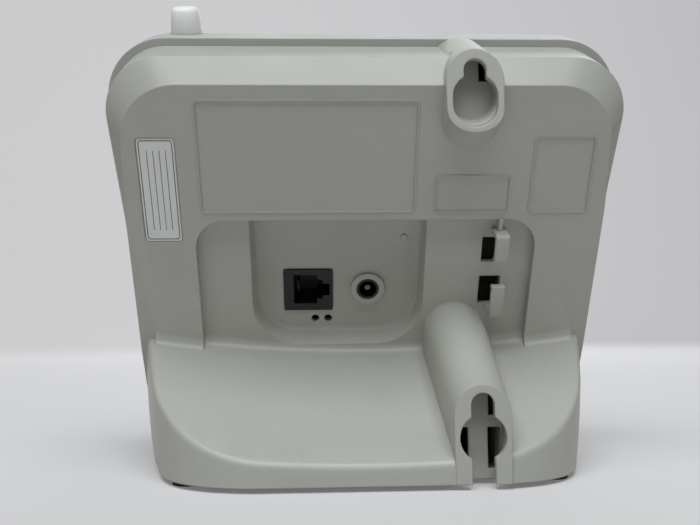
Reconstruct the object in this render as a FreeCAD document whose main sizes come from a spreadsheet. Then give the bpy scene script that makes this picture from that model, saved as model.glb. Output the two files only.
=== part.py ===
import FreeCAD, Part
import math
import os
import Sketcher

# Upright base of a cordless telephone with an answering machine, in millimetres.
# World frame: +X right as seen from the front, +Y towards the back, +Z up, origin on the floor.
# Most pieces are drawn in the slab frame, which leans back with the body: x as in the world,
# y up along the flat back panel, z out of the front. Its origin is where that panel meets the floor.

Vector = FreeCAD.Vector
Constraint = Sketcher.Constraint

doc = FreeCAD.newDocument("TelephoneBase")
sheet = doc.addObject("Spreadsheet::Sheet", "Dims")

dimensions = [
    # body
    ("lean", 28.4), ("halfDepth", 59.5), ("panelReach", 69.2), ("chinReach", 119), ("footGap", 1.6),
    ("slabWide", 168.8), ("slabTop", 146.8), ("slabRound", 24.5), ("slabLow", -46), ("edgeRound", 7.2),
    ("splitAt", 29.7), ("frontAt", 51), ("rimOver", 2.5), ("frontRound", 8), ("wall", 2.4), ("shell", 2.2),
    # foot and its shelf, at a level inside the slab and at a level beyond the wall plane
    ("footInLevel", 8.2), ("footOutLevel", -63.4), ("footInHalf", 79.8), ("footOutHalf", 63.3),
    ("footTop", 57), ("footRound", 30.7), ("shelfHalf", 84), ("shelfInSide", 52.05), ("shelfInMid", 42.8),
    ("shelfOutLevel", -71.6), ("shelfOutSide", 44.2), ("shelfOutMid", 38.6), ("rimEdge", 1.2),
    # cable bay and jack bay in the back panel
    ("bayHalf", 56.8), ("bayTop", 94.8), ("bayCorner", 10.2), ("bayDeep", 3), ("bayLowSide", 47),
    ("jackBayX", 9.6), ("jackBayWide", 60.2), ("jackBayLow", 45.7), ("jackBayCorner", 16.4),
    ("jackBayDeep", 10),
    # wall bosses: an arch for the lower one, a stadium for the upper one
    ("keyX", -32.2), ("studSpan", 101.6), ("lowSeat", 28.4), ("holeRadius", 7), ("slotRadius", 3.55),
    ("seatToHole", 13.2), ("upperSeatToHole", 11.8), ("upperHoleDrop", 2.6),
    ("plate", 2.4), ("pocketDeep", 8.5), ("pocketHalf", 7.1), ("bossSkin", 2.2),
    ("lowInLevel", 6), ("lowInHalf", 11.3), ("lowInTop", 62.6), ("lowOutHalf", 8.1), ("lowOutTop", 59.2),
    ("upOutLevel", -12.3), ("upInHalf", 10.1), ("upOutHalf", 8.6), ("upTop", 150), ("upInLow", 96.2),
    ("upOutLow", 128.7),
    # sockets and boards
    ("phoneX", 20.2), ("phoneY", 64.4), ("phoneWide", 17.3), ("phoneTall", 16.2),
    ("powerX", -1.2), ("powerY", 64.9), ("collarRadius", 6.15), ("barrelRadius", 3.15),
    ("boardLevel", 25), ("boardThick", 1.6), ("keyBoardLevel", 39), ("matThick", 1),
    # handset cradle
    ("cradleX", -38), ("cradleWide", 58), ("cradleLow", 4), ("cradleTop", 128), ("wellTop", 50),
    ("cradleFloor", 44), ("wellFloor", 27), ("cradleCorner", 9),
    ("contactGap", 24), ("contactLevel", 34), ("contactRise", 3), ("contactTravel", 1.6),
    # controls
    ("controlX", 40), ("keyProud", 1), ("keyClear", 0.35), ("keyTravel", 0.8), ("flange", 0.8),
    ("speakerY", 12), ("speakerRadius", 20), ("lensY", 112), ("lensWide", 36), ("lensTall", 20),
]

for row, (name, value) in enumerate(dimensions, 1):
    sheet.set("A%d" % row, name)
    sheet.set("B%d" % row, str(value))
    sheet.setAlias("B%d" % row, name)
doc.recompute()


def number(expression):
    return float(sheet.evalExpression(expression))


def bind(item, bindings):
    for path, expression in bindings.items():
        item.setExpression(path, expression)


# ---------------------------------------------------------------- sketches

def sketchOn(body, name, role="XY_Plane", level="0"):
    sketch = body.newObject("Sketcher::SketchObject", name)
    planes = [feature for feature in body.Origin.OriginFeatures if feature.Role == role]
    sketch.AttachmentSupport = [(planes[0], "")]
    sketch.MapMode = "FlatFace"
    sketch.setExpression("AttachmentOffset.Base.z", level)
    return sketch


def measure(sketch, name, kind, place, expression):
    # One named driving distance from the sketch origin, or one named radius.
    index = sketch.addConstraint(Constraint(kind, *place, number(expression)))
    sketch.renameConstraint(index, name)
    sketch.setExpression("Constraints." + name, expression)


def pin(sketch, name, geometry, end, x, y):
    measure(sketch, name + "X", "DistanceX", (-1, 1, geometry, end), x)
    measure(sketch, name + "Y", "DistanceY", (-1, 1, geometry, end), y)


def drawPolygon(sketch, corners):
    spots = [Vector(number(x), number(y), 0) for x, y in corners]
    count = len(spots)
    lines = [Part.LineSegment(spots[i], spots[(i + 1) % count]) for i in range(count)]
    sketch.addGeometry(lines, False)
    for i in range(count):
        sketch.addConstraint(Constraint("Coincident", i, 2, (i + 1) % count, 1))
    for i, (x, y) in enumerate(corners):
        pin(sketch, "corner%d" % i, i, 1, x, y)


def drawWindow(sketch, x, y, wide, tall, corner):
    # Rounded rectangle about (x, y).
    left, right = "%s - (%s) / 2" % (x, wide), "%s + (%s) / 2" % (x, wide)
    low, high = "%s - (%s) / 2" % (y, tall), "%s + (%s) / 2" % (y, tall)
    x0, x1, y0, y1, r = (number(text) for text in (left, right, low, high, corner))
    first = sketch.GeometryCount
    sketch.addGeometry([
        Part.LineSegment(Vector(x0 + r, y0, 0), Vector(x1 - r, y0, 0)),
        Part.LineSegment(Vector(x1, y0 + r, 0), Vector(x1, y1 - r, 0)),
        Part.LineSegment(Vector(x1 - r, y1, 0), Vector(x0 + r, y1, 0)),
        Part.LineSegment(Vector(x0, y1 - r, 0), Vector(x0, y0 + r, 0)),
    ], False)
    centres = ((x1 - r, y0 + r), (x1 - r, y1 - r), (x0 + r, y1 - r), (x0 + r, y0 + r))
    for turn, (cx, cy) in enumerate(centres):
        ring = Part.Circle(Vector(cx, cy, 0), Vector(0, 0, 1), r)
        start = math.radians(90 * turn - 90)
        sketch.addGeometry(Part.ArcOfCircle(ring, start, start + math.pi / 2), False)
    for side in range(4):
        line, arc, following = first + side, first + 4 + side, first + (side + 1) % 4
        sketch.addConstraint(Constraint("Vertical" if side % 2 else "Horizontal", line))
        sketch.addConstraint(Constraint("Tangent", line, 2, arc, 1))
        sketch.addConstraint(Constraint("Tangent", arc, 2, following, 1))
        if side:
            sketch.addConstraint(Constraint("Equal", first + 4, arc))
    tag = "window%d" % first
    measure(sketch, tag + "corner", "Radius", (first + 4,), corner)
    measure(sketch, tag + "left", "DistanceX", (-1, 1, first + 3, 1), left)
    measure(sketch, tag + "right", "DistanceX", (-1, 1, first + 1, 1), right)
    measure(sketch, tag + "low", "DistanceY", (-1, 1, first, 1), low)
    measure(sketch, tag + "high", "DistanceY", (-1, 1, first + 2, 1), high)


def drawCircle(sketch, x, y, radius):
    index = sketch.GeometryCount
    circle = Part.Circle(Vector(number(x), number(y), 0), Vector(0, 0, 1), number(radius))
    sketch.addGeometry(circle, False)
    pin(sketch, "circle%d" % index, index, 3, x, y)
    measure(sketch, "circle%dradius" % index, "Radius", (index,), radius)


def drawArch(sketch, x, half, top, low):
    # Half round on top of two straight sides.
    cx, r, high, foot = (number(text) for text in (x, half, top, low))
    ring = Part.Circle(Vector(cx, high - r, 0), Vector(0, 0, 1), r)
    sketch.addGeometry([
        Part.ArcOfCircle(ring, 0, math.pi),
        Part.LineSegment(Vector(cx - r, high - r, 0), Vector(cx - r, foot, 0)),
        Part.LineSegment(Vector(cx - r, foot, 0), Vector(cx + r, foot, 0)),
        Part.LineSegment(Vector(cx + r, foot, 0), Vector(cx + r, high - r, 0)),
    ], False)
    sketch.addConstraint([
        Constraint("Tangent", 0, 2, 1, 1), Constraint("Coincident", 1, 2, 2, 1),
        Constraint("Coincident", 2, 2, 3, 1), Constraint("Tangent", 3, 2, 0, 1),
        Constraint("Vertical", 1), Constraint("Horizontal", 2),
    ])
    measure(sketch, "half", "Radius", (0,), half)
    pin(sketch, "crown", 0, 3, x, "%s - (%s)" % (top, half))
    measure(sketch, "low", "DistanceY", (-1, 1, 2, 1), low)


def drawStadium(sketch, x, half, top, low):
    # Half round at both ends.
    cx, r, high, foot = (number(text) for text in (x, half, top, low))
    upper = Part.Circle(Vector(cx, high - r, 0), Vector(0, 0, 1), r)
    lower = Part.Circle(Vector(cx, foot + r, 0), Vector(0, 0, 1), r)
    sketch.addGeometry([
        Part.ArcOfCircle(upper, 0, math.pi),
        Part.LineSegment(Vector(cx - r, high - r, 0), Vector(cx - r, foot + r, 0)),
        Part.ArcOfCircle(lower, math.pi, 2 * math.pi),
        Part.LineSegment(Vector(cx + r, foot + r, 0), Vector(cx + r, high - r, 0)),
    ], False)
    sketch.addConstraint([
        Constraint("Tangent", 0, 2, 1, 1), Constraint("Tangent", 1, 2, 2, 1),
        Constraint("Tangent", 2, 2, 3, 1), Constraint("Tangent", 3, 2, 0, 1),
    ])
    measure(sketch, "half", "Radius", (0,), half)
    pin(sketch, "upper", 0, 3, x, "%s - (%s)" % (top, half))
    measure(sketch, "lowerY", "DistanceY", (-1, 1, 2, 3), "%s + (%s)" % (low, half))


def drawSmile(sketch, half, side, middle, edge):
    # Strip between a sagging arc, given by its middle and its ends, and a straight edge.
    h, s, m, e = (number(text) for text in (half, side, middle, edge))
    arc = Part.Arc(Vector(-h, s, 0), Vector(0, m, 0), Vector(h, s, 0))
    sketch.addGeometry([
        arc,
        Part.LineSegment(Vector(h, s, 0), Vector(h, e, 0)),
        Part.LineSegment(Vector(h, e, 0), Vector(-h, e, 0)),
        Part.LineSegment(Vector(-h, e, 0), Vector(-h, s, 0)),
    ], False)
    sketch.addGeometry(Part.Point(Vector(0, m, 0)), True)
    left = 1 if sketch.Geometry[0].StartPoint.x < 0 else 2
    right = 3 - left
    sketch.addConstraint([
        Constraint("Coincident", 0, right, 1, 1), Constraint("Coincident", 1, 2, 2, 1),
        Constraint("Coincident", 2, 2, 3, 1), Constraint("Coincident", 3, 2, 0, left),
        Constraint("PointOnObject", 4, 1, -2), Constraint("PointOnObject", 4, 1, 0),
    ])
    measure(sketch, "middle", "DistanceY", (-1, 1, 4, 1), middle)
    pin(sketch, "leftEnd", 0, left, "-(%s)" % half, side)
    pin(sketch, "rightEnd", 0, right, half, side)
    pin(sketch, "leftFoot", 3, 1, "-(%s)" % half, edge)
    pin(sketch, "rightFoot", 1, 2, half, edge)


# ---------------------------------------------------------------- features

def newBody(name):
    body = doc.addObject("PartDesign::Body", name)
    body.Label = name
    return body


def extrude(body, kind, sketch, name, length, backwards=False, both=False):
    feature = body.newObject("PartDesign::" + kind, name)
    feature.Profile = sketch
    feature.setExpression("Length", length)
    feature.Reversed = backwards
    if both:
        feature.SideType = "Symmetric"
    sketch.Visibility = False
    doc.recompute()
    return feature


def pad(body, sketch, name, length, backwards=False, both=False):
    return extrude(body, "Pad", sketch, name, length, backwards, both)


def pocket(body, sketch, name, length, backwards=False, both=False):
    # A pocket must take material away.
    before = body.Shape.Volume
    feature = extrude(body, "Pocket", sketch, name, length, backwards, both)
    if not body.Shape.Volume < before - 1e-6:
        raise RuntimeError(name + " cuts nothing")
    return feature


def loft(body, kind, name, first, second):
    feature = body.newObject("PartDesign::" + kind, name)
    feature.Profile = first
    feature.Sections = [second]
    feature.Ruled = True
    doc.recompute()
    return feature


def fillet(body, name, radius, chosen):
    base = body.Tip
    names = ["Edge%d" % (i + 1) for i, edge in enumerate(base.Shape.Edges) if chosen(edge)]
    feature = body.newObject("PartDesign::Fillet", name)
    feature.Base = (base, names)
    feature.Refine = False
    feature.setExpression("Radius", radius)
    doc.recompute()
    return feature


def join(name, kind, base, tool):
    result = doc.addObject("Part::" + kind, name)
    result.Base = base
    result.Tool = tool
    result.Label = name
    doc.recompute()
    return result


def fuse(name, pieces):
    result = doc.addObject("Part::MultiFuse", name)
    result.Shapes = pieces
    result.Label = name
    doc.recompute()
    return result


def box(name, x, y, z, wide, deep, high):
    # Block from the corner (x, y, z).
    item = doc.addObject("Part::Box", name)
    bind(item, {"Placement.Base.x": x, "Placement.Base.y": y, "Placement.Base.z": z,
                "Length": wide, "Width": deep, "Height": high})
    return item


def rod(name, x, y, z, radius, height):
    # Cylinder along z from (x, y, z).
    item = doc.addObject("Part::Cylinder", name)
    bind(item, {"Placement.Base.x": x, "Placement.Base.y": y, "Placement.Base.z": z,
                "Radius": radius, "Height": height})
    return item


def lean(item, x="0", y="0", z="0"):
    # Seats a piece drawn in the slab frame, with its own origin at (x, y, z) of that frame.
    item.Placement = FreeCAD.Placement(Vector(0, 0, 0), FreeCAD.Rotation(Vector(1, 0, 0), 60))
    base = "Dims.halfDepth - Dims.panelReach"
    bind(item, {"Placement.Rotation.Angle": "90 - Dims.lean", "Placement.Base.x": x,
                "Placement.Base.y": "%s + (%s) * sin(Dims.lean) - (%s) * cos(Dims.lean)" % (base, y, z),
                "Placement.Base.z": "(%s) * cos(Dims.lean) + (%s) * sin(Dims.lean)" % (y, z)})
    return item


def along(y, z):
    # Slab coordinates (y, z) of a point given by its distance y from the wall plane and height z.
    back = "(%s + Dims.panelReach)" % y
    return ("%s * sin(Dims.lean) + (%s) * cos(Dims.lean)" % (back, z),
            "(%s) * sin(Dims.lean) - %s * cos(Dims.lean)" % (z, back))


def wallDistance(point):
    # Distance of a point in the slab frame from the wall plane, negative inside.
    angle = math.radians(number("Dims.lean"))
    return point.y * math.sin(angle) - point.z * math.cos(angle) - number("Dims.panelReach")


def flatAt(edge, level):
    return all(abs(vertex.Z - level) < 1e-4 for vertex in edge.Vertexes)


parts = {}


def keep(item):
    parts[item.Label] = item
    return item


# ---------------------------------------------------------------- rear housing

def trimToFloor(body, name, wallGap, floorGap):
    # Cuts away what lies beyond the wall plane or under the floor of the housing.
    sketch = sketchOn(body, name + "Sketch", "YZ_Plane")
    back, floor = "-(%s)" % wallGap, "Dims.footGap + %s" % floorGap
    corners = [(back, "300"), (back, floor), ("-200", floor), ("-200", "-120"), ("150", "-120"), ("150", "300")]
    drawPolygon(sketch, [along(y, z) for y, z in corners])
    pocket(body, sketch, name, "400", both=True)


def drawBlock(sketch, half, low, high):
    drawPolygon(sketch, [("-(%s)" % half, low), (half, low), (half, high), ("-(%s)" % half, high)])


def drawBay(sketch, inset):
    # Arch-topped cable bay, whose lower side follows the shelf.
    half, top = "(Dims.bayHalf + %s)" % inset, "(Dims.bayTop + %s)" % inset
    corner, side = "Dims.bayCorner + %s" % inset, "Dims.bayLowSide - %s" % inset
    middle = "Dims.shelfInMid - %s" % inset
    h, t, r, s, m = (number(text) for text in (half, top, corner, side, middle))
    rightRing = Part.Circle(Vector(h - r, t - r, 0), Vector(0, 0, 1), r)
    leftRing = Part.Circle(Vector(r - h, t - r, 0), Vector(0, 0, 1), r)
    sketch.addGeometry([
        Part.ArcOfCircle(rightRing, 0, math.pi / 2),
        Part.LineSegment(Vector(h - r, t, 0), Vector(r - h, t, 0)),
        Part.ArcOfCircle(leftRing, math.pi / 2, math.pi),
        Part.LineSegment(Vector(-h, t - r, 0), Vector(-h, s, 0)),
        Part.Arc(Vector(-h, s, 0), Vector(0, m, 0), Vector(h, s, 0)),
        Part.LineSegment(Vector(h, s, 0), Vector(h, t - r, 0)),
    ], False)
    sketch.addGeometry(Part.Point(Vector(0, m, 0)), True)
    left = 1 if sketch.Geometry[4].StartPoint.x < 0 else 2
    right = 3 - left
    sketch.addConstraint([
        Constraint("Tangent", 0, 2, 1, 1), Constraint("Tangent", 1, 2, 2, 1),
        Constraint("Tangent", 2, 2, 3, 1), Constraint("Tangent", 5, 2, 0, 1),
        Constraint("Coincident", 3, 2, 4, left), Constraint("Coincident", 4, right, 5, 1),
        Constraint("Horizontal", 1), Constraint("Vertical", 3), Constraint("Vertical", 5),
        Constraint("PointOnObject", 6, 1, -2), Constraint("PointOnObject", 6, 1, 4),
        Constraint("Equal", 0, 2),
    ])
    measure(sketch, "corner", "Radius", (0,), corner)
    measure(sketch, "top", "DistanceY", (-1, 1, 1, 1), top)
    measure(sketch, "middle", "DistanceY", (-1, 1, 6, 1), middle)
    pin(sketch, "leftEnd", 3, 2, "-" + half, side)
    pin(sketch, "rightEnd", 5, 1, half, side)


def backCorner(edge, inset, side):
    # The upright edge of the foot in the wall plane, on the given side.
    ends = [vertex.Point for vertex in edge.Vertexes]
    onWall = all(abs(wallDistance(end) + inset) < 1e-3 and end.x * side > 20 for end in ends)
    return onWall and edge.Length > 15 and abs(ends[0].x - ends[1].x) < 30


def rimEdge(edge):
    # Edges between the shelf and the walls of the foot.
    outside = all(vertex.Z < 1 for vertex in edge.Vertexes) and any(vertex.Z < -1 for vertex in edge.Vertexes)
    return outside and edge.Curve.TypeId == "Part::GeomBSplineCurve"


def rearSlab(name, inset):
    # Leaning body with a flat panel and a rounded edge.
    body = newBody(name)
    outline = sketchOn(body, name + "Outline", level=inset)
    top = "(Dims.slabTop - %s)" % inset
    drawWindow(outline, "0", "(%s + Dims.slabLow) / 2" % top, "Dims.slabWide - 2 * %s" % inset,
               "%s - Dims.slabLow" % top, "Dims.slabRound - %s" % inset)
    pad(body, outline, name + "Pad", "Dims.splitAt - %s" % inset)
    level = number(inset)
    fillet(body, name + "Edge", "Dims.edgeRound - %s" % inset, lambda edge: flatAt(edge, level))
    trimToFloor(body, name + "Trim", inset, inset)
    return body


def rearFoot(name, inset):
    # Foot that narrows towards the back and carries the dished shelf.
    body = newBody(name)
    plan = sketchOn(body, name + "Plan", "XZ_Plane", "-Dims.footTop")
    inner, outer = "(Dims.footInHalf - %s)" % inset, "(Dims.footOutHalf - %s)" % inset
    drawPolygon(plan, [("-" + inner, "Dims.footInLevel"), ("-" + outer, "Dims.footOutLevel"),
                       (outer, "Dims.footOutLevel"), (inner, "Dims.footInLevel")])
    pad(body, plan, name + "Block", "Dims.footTop - Dims.slabLow")
    trimToFloor(body, name + "Trim", inset, inset)
    gap = number(inset)
    for label, side in (("Left", -1), ("Right", 1)):
        fillet(body, name + label, "Dims.footRound - %s" % inset, lambda edge: backCorner(edge, gap, side))
    near = sketchOn(body, name + "ShelfNear", level=inset)
    drawSmile(near, "Dims.shelfHalf", "Dims.shelfInSide - %s" % inset, "Dims.shelfInMid - %s" % inset, "160")
    far = sketchOn(body, name + "ShelfFar", level="Dims.shelfOutLevel")
    drawSmile(far, "Dims.shelfHalf", "Dims.shelfOutSide - %s" % inset, "Dims.shelfOutMid - %s" % inset, "160")
    loft(body, "SubtractiveLoft", name + "Shelf", near, far)
    if gap == 0:
        fillet(body, name + "Rim", "Dims.rimEdge", rimEdge)
    return body


def rearBays(name, inset):
    # Space of the cable bay and of the deeper jack bay.
    cable = newBody(name + "Cable")
    sketch = sketchOn(cable, name + "CableSketch", level="-1")
    drawBay(sketch, inset)
    pad(cable, sketch, name + "CablePad", "Dims.bayDeep + 1 + %s" % inset)
    jacks = newBody(name + "Jack")
    sketch = sketchOn(jacks, name + "JackSketch", level="-1")
    low = "(Dims.jackBayLow - %s)" % inset
    drawWindow(sketch, "Dims.jackBayX", "(%s + Dims.bayTop + %s) / 2" % (low, inset),
               "Dims.jackBayWide + 2 * %s" % inset, "Dims.bayTop + %s - %s" % (inset, low),
               "Dims.jackBayCorner + %s" % inset)
    pad(jacks, sketch, name + "JackPad", "Dims.jackBayDeep + 1 + %s" % inset)
    return fuse(name, [cable, jacks])


def rearForm(name, inset):
    # Outer form of the rear housing, or its hollow when inset is the wall thickness.
    solid = join(name + "Solid", "Fuse", rearSlab(name + "Slab", inset), rearFoot(name + "Foot", inset))
    return join(name, "Cut", solid, rearBays(name + "Bays", inset))


def lowerBoss(name, inset, level, wallGap, floorGap):
    body = newBody(name)
    near = sketchOn(body, name + "Near", level=level)
    drawArch(near, "Dims.keyX", "Dims.lowInHalf - %s" % inset, "Dims.lowInTop - %s" % inset, "Dims.slabLow")
    far = sketchOn(body, name + "Far", level="Dims.footOutLevel")
    drawArch(far, "Dims.keyX", "Dims.lowOutHalf - %s" % inset, "Dims.lowOutTop - %s" % inset, "Dims.slabLow")
    loft(body, "AdditiveLoft", name + "Taper", near, far)
    trimToFloor(body, name + "Trim", wallGap, floorGap)
    return body


def upperBoss(name, inset, level, wallGap):
    body = newBody(name)
    near = sketchOn(body, name + "Near", level=level)
    drawStadium(near, "Dims.keyX", "Dims.upInHalf - %s" % inset, "Dims.upTop - %s" % inset,
                "Dims.upInLow + %s" % inset)
    far = sketchOn(body, name + "Far", level="Dims.upOutLevel")
    drawStadium(far, "Dims.keyX", "Dims.upOutHalf - %s" % inset, "Dims.upTop - %s" % inset,
                "Dims.upOutLow + %s" % inset)
    loft(body, "AdditiveLoft", name + "Taper", near, far)
    trimToFloor(body, name + "Trim", wallGap, "0")
    return body


def keyPocket(name, top, low):
    # Room for the stud's head behind the plate, drawn along the boss.
    body = newBody(name)
    sketch = sketchOn(body, name + "Sketch", level="-75")
    drawStadium(sketch, "Dims.keyX", "Dims.pocketHalf", top, low)
    pad(body, sketch, name + "Pad", "100")
    layer = box(name + "Layer", "Dims.keyX - 20", "Dims.halfDepth - Dims.pocketDeep", "-10",
                "40", "Dims.pocketDeep - Dims.plate", "180")
    return join(name + "Room", "Common", lean(body), layer)


def keyholes():
    # Both openings through the plates, in the plane of the wall.
    level = "-Dims.halfDepth - 1"
    upSeat, seat = "Dims.lowSeat + Dims.studSpan", "Dims.lowSeat"
    outlines = [
        ("upSlot", "Dims.slotRadius", upSeat, "%s - Dims.upperSeatToHole" % upSeat),
        ("upHole", "Dims.holeRadius", "%s - Dims.upperSeatToHole + Dims.holeRadius" % upSeat,
         "%s - Dims.upperSeatToHole - Dims.upperHoleDrop - Dims.holeRadius" % upSeat),
        ("lowSlot", "Dims.slotRadius", seat, "-10"),
        ("lowHole", "Dims.holeRadius", "%s - Dims.seatToHole + Dims.holeRadius" % seat,
         "%s - Dims.seatToHole - Dims.holeRadius - 0.01" % seat),
    ]
    cuts = []
    for name, half, top, low in outlines:
        item = newBody(name)
        sketch = sketchOn(item, name + "Sketch", "XZ_Plane", level)
        drawStadium(sketch, "Dims.keyX", half, top, low)
        pad(item, sketch, name + "Pad", "Dims.plate + 2")
        cuts.append(item)
    return cuts


def pocketWindows():
    # Openings in the floor of the pockets, on both sides of a middle rib.
    upSeat = "(Dims.lowSeat + Dims.studSpan)"
    spans = [("lowVent", "3", "3.9", "4.6", "12.6"), ("lowNeck", "3.4", "2.6", "Dims.lowSeat - 7.5", "7"),
             ("upNeck", "2.8", "3.6", upSeat + " - 9", "7.6")]
    cuts = []
    for name, near, wide, low, tall in spans:
        for side, x in (("Left", "Dims.keyX - %s - %s" % (near, wide)), ("Right", "Dims.keyX + %s" % near)):
            cuts.append(box(name + side, x, "Dims.halfDepth - Dims.pocketDeep - 6", low, wide, "8", tall))
    return cuts


def cableHook(name, low, high, rootLow):
    # Bent tongue that stands off the floor of the cable bay.
    tongue = box(name + "Tongue", "-48.2", low, "-4", "7", "%s - %s" % (high, low), "2")
    root = box(name + "Root", "-48.2", rootLow, "-4", "7", "2.4", "Dims.bayDeep + 5")
    return [tongue, root]


def rearHousing():
    shell = join("rearShell", "Cut", rearForm("rearOuter", "0"), rearForm("rearInner", "Dims.wall"))
    bosses = [lowerBoss("lowerBoss", "0", "Dims.lowInLevel", "0", "0"),
              upperBoss("upperBoss", "0", "Dims.splitAt", "0")]
    deep = "(Dims.pocketDeep + Dims.bossSkin)"
    cores = [lowerBoss("lowerCore", "Dims.bossSkin", "Dims.lowInLevel + 6", deep, "Dims.wall"),
             upperBoss("upperCore", "Dims.bossSkin", "Dims.splitAt + 1", deep)]
    hooks = cableHook("upHook", "78.6", "89.2", "86.8") + cableHook("lowHook", "57.1", "69.3", "57.1")
    hooks.append(box("hookRib", "-46.2", "89", "-1", "1.4", "6.4", "Dims.bayDeep + 1.5"))
    posts = [rod("boardPost%d" % i, x, y, start, "3.2", "Dims.boardLevel - %s" % start)
             for i, (x, y, start) in enumerate(boardPosts())]
    posts.append(rod("powerCollar", "Dims.powerX", "Dims.powerY", "Dims.jackBayDeep - 1.4",
                     "Dims.collarRadius", "2"))
    body = fuse("rearBody", [shell] + bosses + hooks + posts)
    cuts = [
        box("upHookSlot", "-48.2", "77.5", "0", "7.2", "9.3", "9"),
        box("lowHookSlot", "-48.2", "61.3", "0", "7.2", "10.6", "9"),
        box("bigPlate", "-15.2", "98.1", "-1", "69.5", "36.1", "1.35"),
        box("smallPlate", "-46.5", "97.9", "-1", "24", "11.8", "1.35"),
        box("tallPlate", "-73", "97.8", "-1", "18.8", "25.2", "1.35"),
        box("labelPlate", "61.5", "87.4", "-1", "12.4", "35.4", "1.5"),
        box("phoneOpening", "Dims.phoneX - Dims.phoneWide / 2 - 0.15", "Dims.phoneY - Dims.phoneTall / 2 - 0.15",
            "Dims.jackBayDeep - 1", "Dims.phoneWide + 0.3", "Dims.phoneTall + 0.3", "5"),
        rod("powerOpening", "Dims.powerX", "Dims.powerY", "Dims.jackBayDeep - 3", "4", "7"),
        rod("ventLeft", "17.8", "52.6", "Dims.jackBayDeep - 1", "1.4", "5"),
        rod("ventRight", "13.1", "52.6", "Dims.jackBayDeep - 1", "1.4", "5"),
    ]
    cuts += [rod("boardPilot%d" % i, x, y, "Dims.boardLevel - 8", "1.3", "9")
             for i, (x, y, start) in enumerate(boardPosts())]
    drilled = join("rearDrilled", "Cut", body, fuse("rearCuts", cores + cuts))
    lean(drilled)
    seats = [rod("screwBoss%d" % i, x, y, "3", "5.5", "3") for i, (x, y) in enumerate(screwPlaces())]
    solid = fuse("rearSolid", [drilled] + seats)
    rooms = [keyPocket("lowPocket", along("0", "Dims.lowSeat")[0] + " + 0.5", "Dims.slabLow"),
             keyPocket("upPocket", along("0", "Dims.lowSeat + Dims.studSpan")[0] + " + 0.5",
                       along("0", "Dims.lowSeat + Dims.studSpan - Dims.upperSeatToHole - Dims.upperHoleDrop"
                                  " - Dims.holeRadius")[0])]
    world = rooms + keyholes() + pocketWindows() + screwHoles()
    world += [rod("footSeat%d" % i, x, y, "1", "5.1", "1.2") for i, (x, y) in enumerate(feetPlaces())]
    return join("rear_housing", "Cut", solid, fuse("rearWorldCuts", world))


def boardPosts():
    # Posts for the main board: x, y and the level at which each one starts.
    return [("2.5", "130", "2"), ("72", "130", "2"), ("72", "52", "2"), ("2.5", "103", "2")]


def screwPlaces():
    return [("-76", "-35"), ("76", "-35")]


def screwHoles():
    # Clearance holes with countersunk heads under the floor.
    cuts = []
    for i, (x, y) in enumerate(screwPlaces()):
        cuts.append(rod("screwShank%d" % i, x, y, "0", "1.7", "8"))
        cuts.append(rod("screwSeat%d" % i, x, y, "0", "3.4", "4"))
    return cuts


def feetPlaces():
    return [("-60", "-32.5"), ("60", "-32.5"), ("-57.3", "42.1"), ("57.3", "42.1")]


# ---------------------------------------------------------------- front housing

def trimToChin(body, name, inset, floorGap):
    # Cuts away what lies in front of the chin or under the floor of the housing.
    sketch = sketchOn(body, name + "Sketch", "YZ_Plane")
    chin, floor = "%s - Dims.chinReach" % inset, "Dims.footGap + %s" % floorGap
    corners = [(chin, "300"), (chin, floor), ("100", floor), ("100", "-120"), ("-300", "-120"), ("-300", "300")]
    drawPolygon(sketch, [along(y, z) for y, z in corners])
    pocket(body, sketch, name, "400", both=True)


def frontBlock(name, inset, low, high, round=None):
    # Leaning block of the front's outline, made smaller by the inset.
    body = newBody(name)
    outline = sketchOn(body, name + "Outline", level=low)
    top = "(Dims.slabTop + Dims.rimOver - %s)" % inset
    drawWindow(outline, "0", "(%s + Dims.slabLow) / 2" % top, "Dims.slabWide + 2 * Dims.rimOver - 2 * %s" % inset,
               "%s - Dims.slabLow" % top, "Dims.slabRound + Dims.rimOver - %s" % inset)
    pad(body, outline, name + "Pad", "%s - (%s)" % (high, low))
    if round:
        level = number(high)
        fillet(body, name + "Edge", round, lambda edge: flatAt(edge, level))
    return body


def windowBlock(name, x, y, wide, tall, corner, low, high):
    body = newBody(name)
    sketch = sketchOn(body, name + "Sketch", level=low)
    drawWindow(sketch, x, y, wide, tall, corner)
    pad(body, sketch, name + "Pad", "%s - (%s)" % (high, low))
    return body


def cradle(name, inset, high):
    # Tray for the handset with a deeper well at its lower end.
    wide = "Dims.cradleWide + 2 * %s" % inset
    tray = windowBlock(name + "Tray", "Dims.cradleX", "(Dims.cradleLow + Dims.cradleTop) / 2", wide,
                       "Dims.cradleTop - Dims.cradleLow + 2 * %s" % inset, "Dims.cradleCorner + %s" % inset,
                       "Dims.cradleFloor - %s" % inset, high)
    well = windowBlock(name + "Well", "Dims.cradleX", "(Dims.cradleLow + Dims.wellTop) / 2", wide,
                       "Dims.wellTop - Dims.cradleLow + 2 * %s" % inset, "Dims.cradleCorner + %s" % inset,
                       "Dims.wellFloor - %s" % inset, high)
    return fuse(name, [tray, well])


def keys():
    # Push buttons: name, x, y, width and height; round ones have no height.
    return [("play_stop_button", "40", "84", "20", None), ("repeat_button", "18", "84", "11", None),
            ("skip_button", "62", "84", "11", None), ("volume_down_button", "20", "61.5", "15", "8"),
            ("delete_button", "40", "61.5", "15", "8"), ("volume_up_button", "60", "61.5", "15", "8"),
            ("answer_button", "27", "47.5", "18", "8"), ("find_handset_button", "53", "47.5", "18", "8")]


def keyBlock(name, x, y, wide, tall, grow, low, high):
    if tall is None:
        return rod(name, x, y, low, "%s / 2 + %s" % (wide, grow), "%s - (%s)" % (high, low))
    return windowBlock(name, x, y, "%s + 2 * %s" % (wide, grow), "%s + 2 * %s" % (tall, grow),
                       "%s / 2 - 0.2 + %s" % (tall, grow), low, high)


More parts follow.
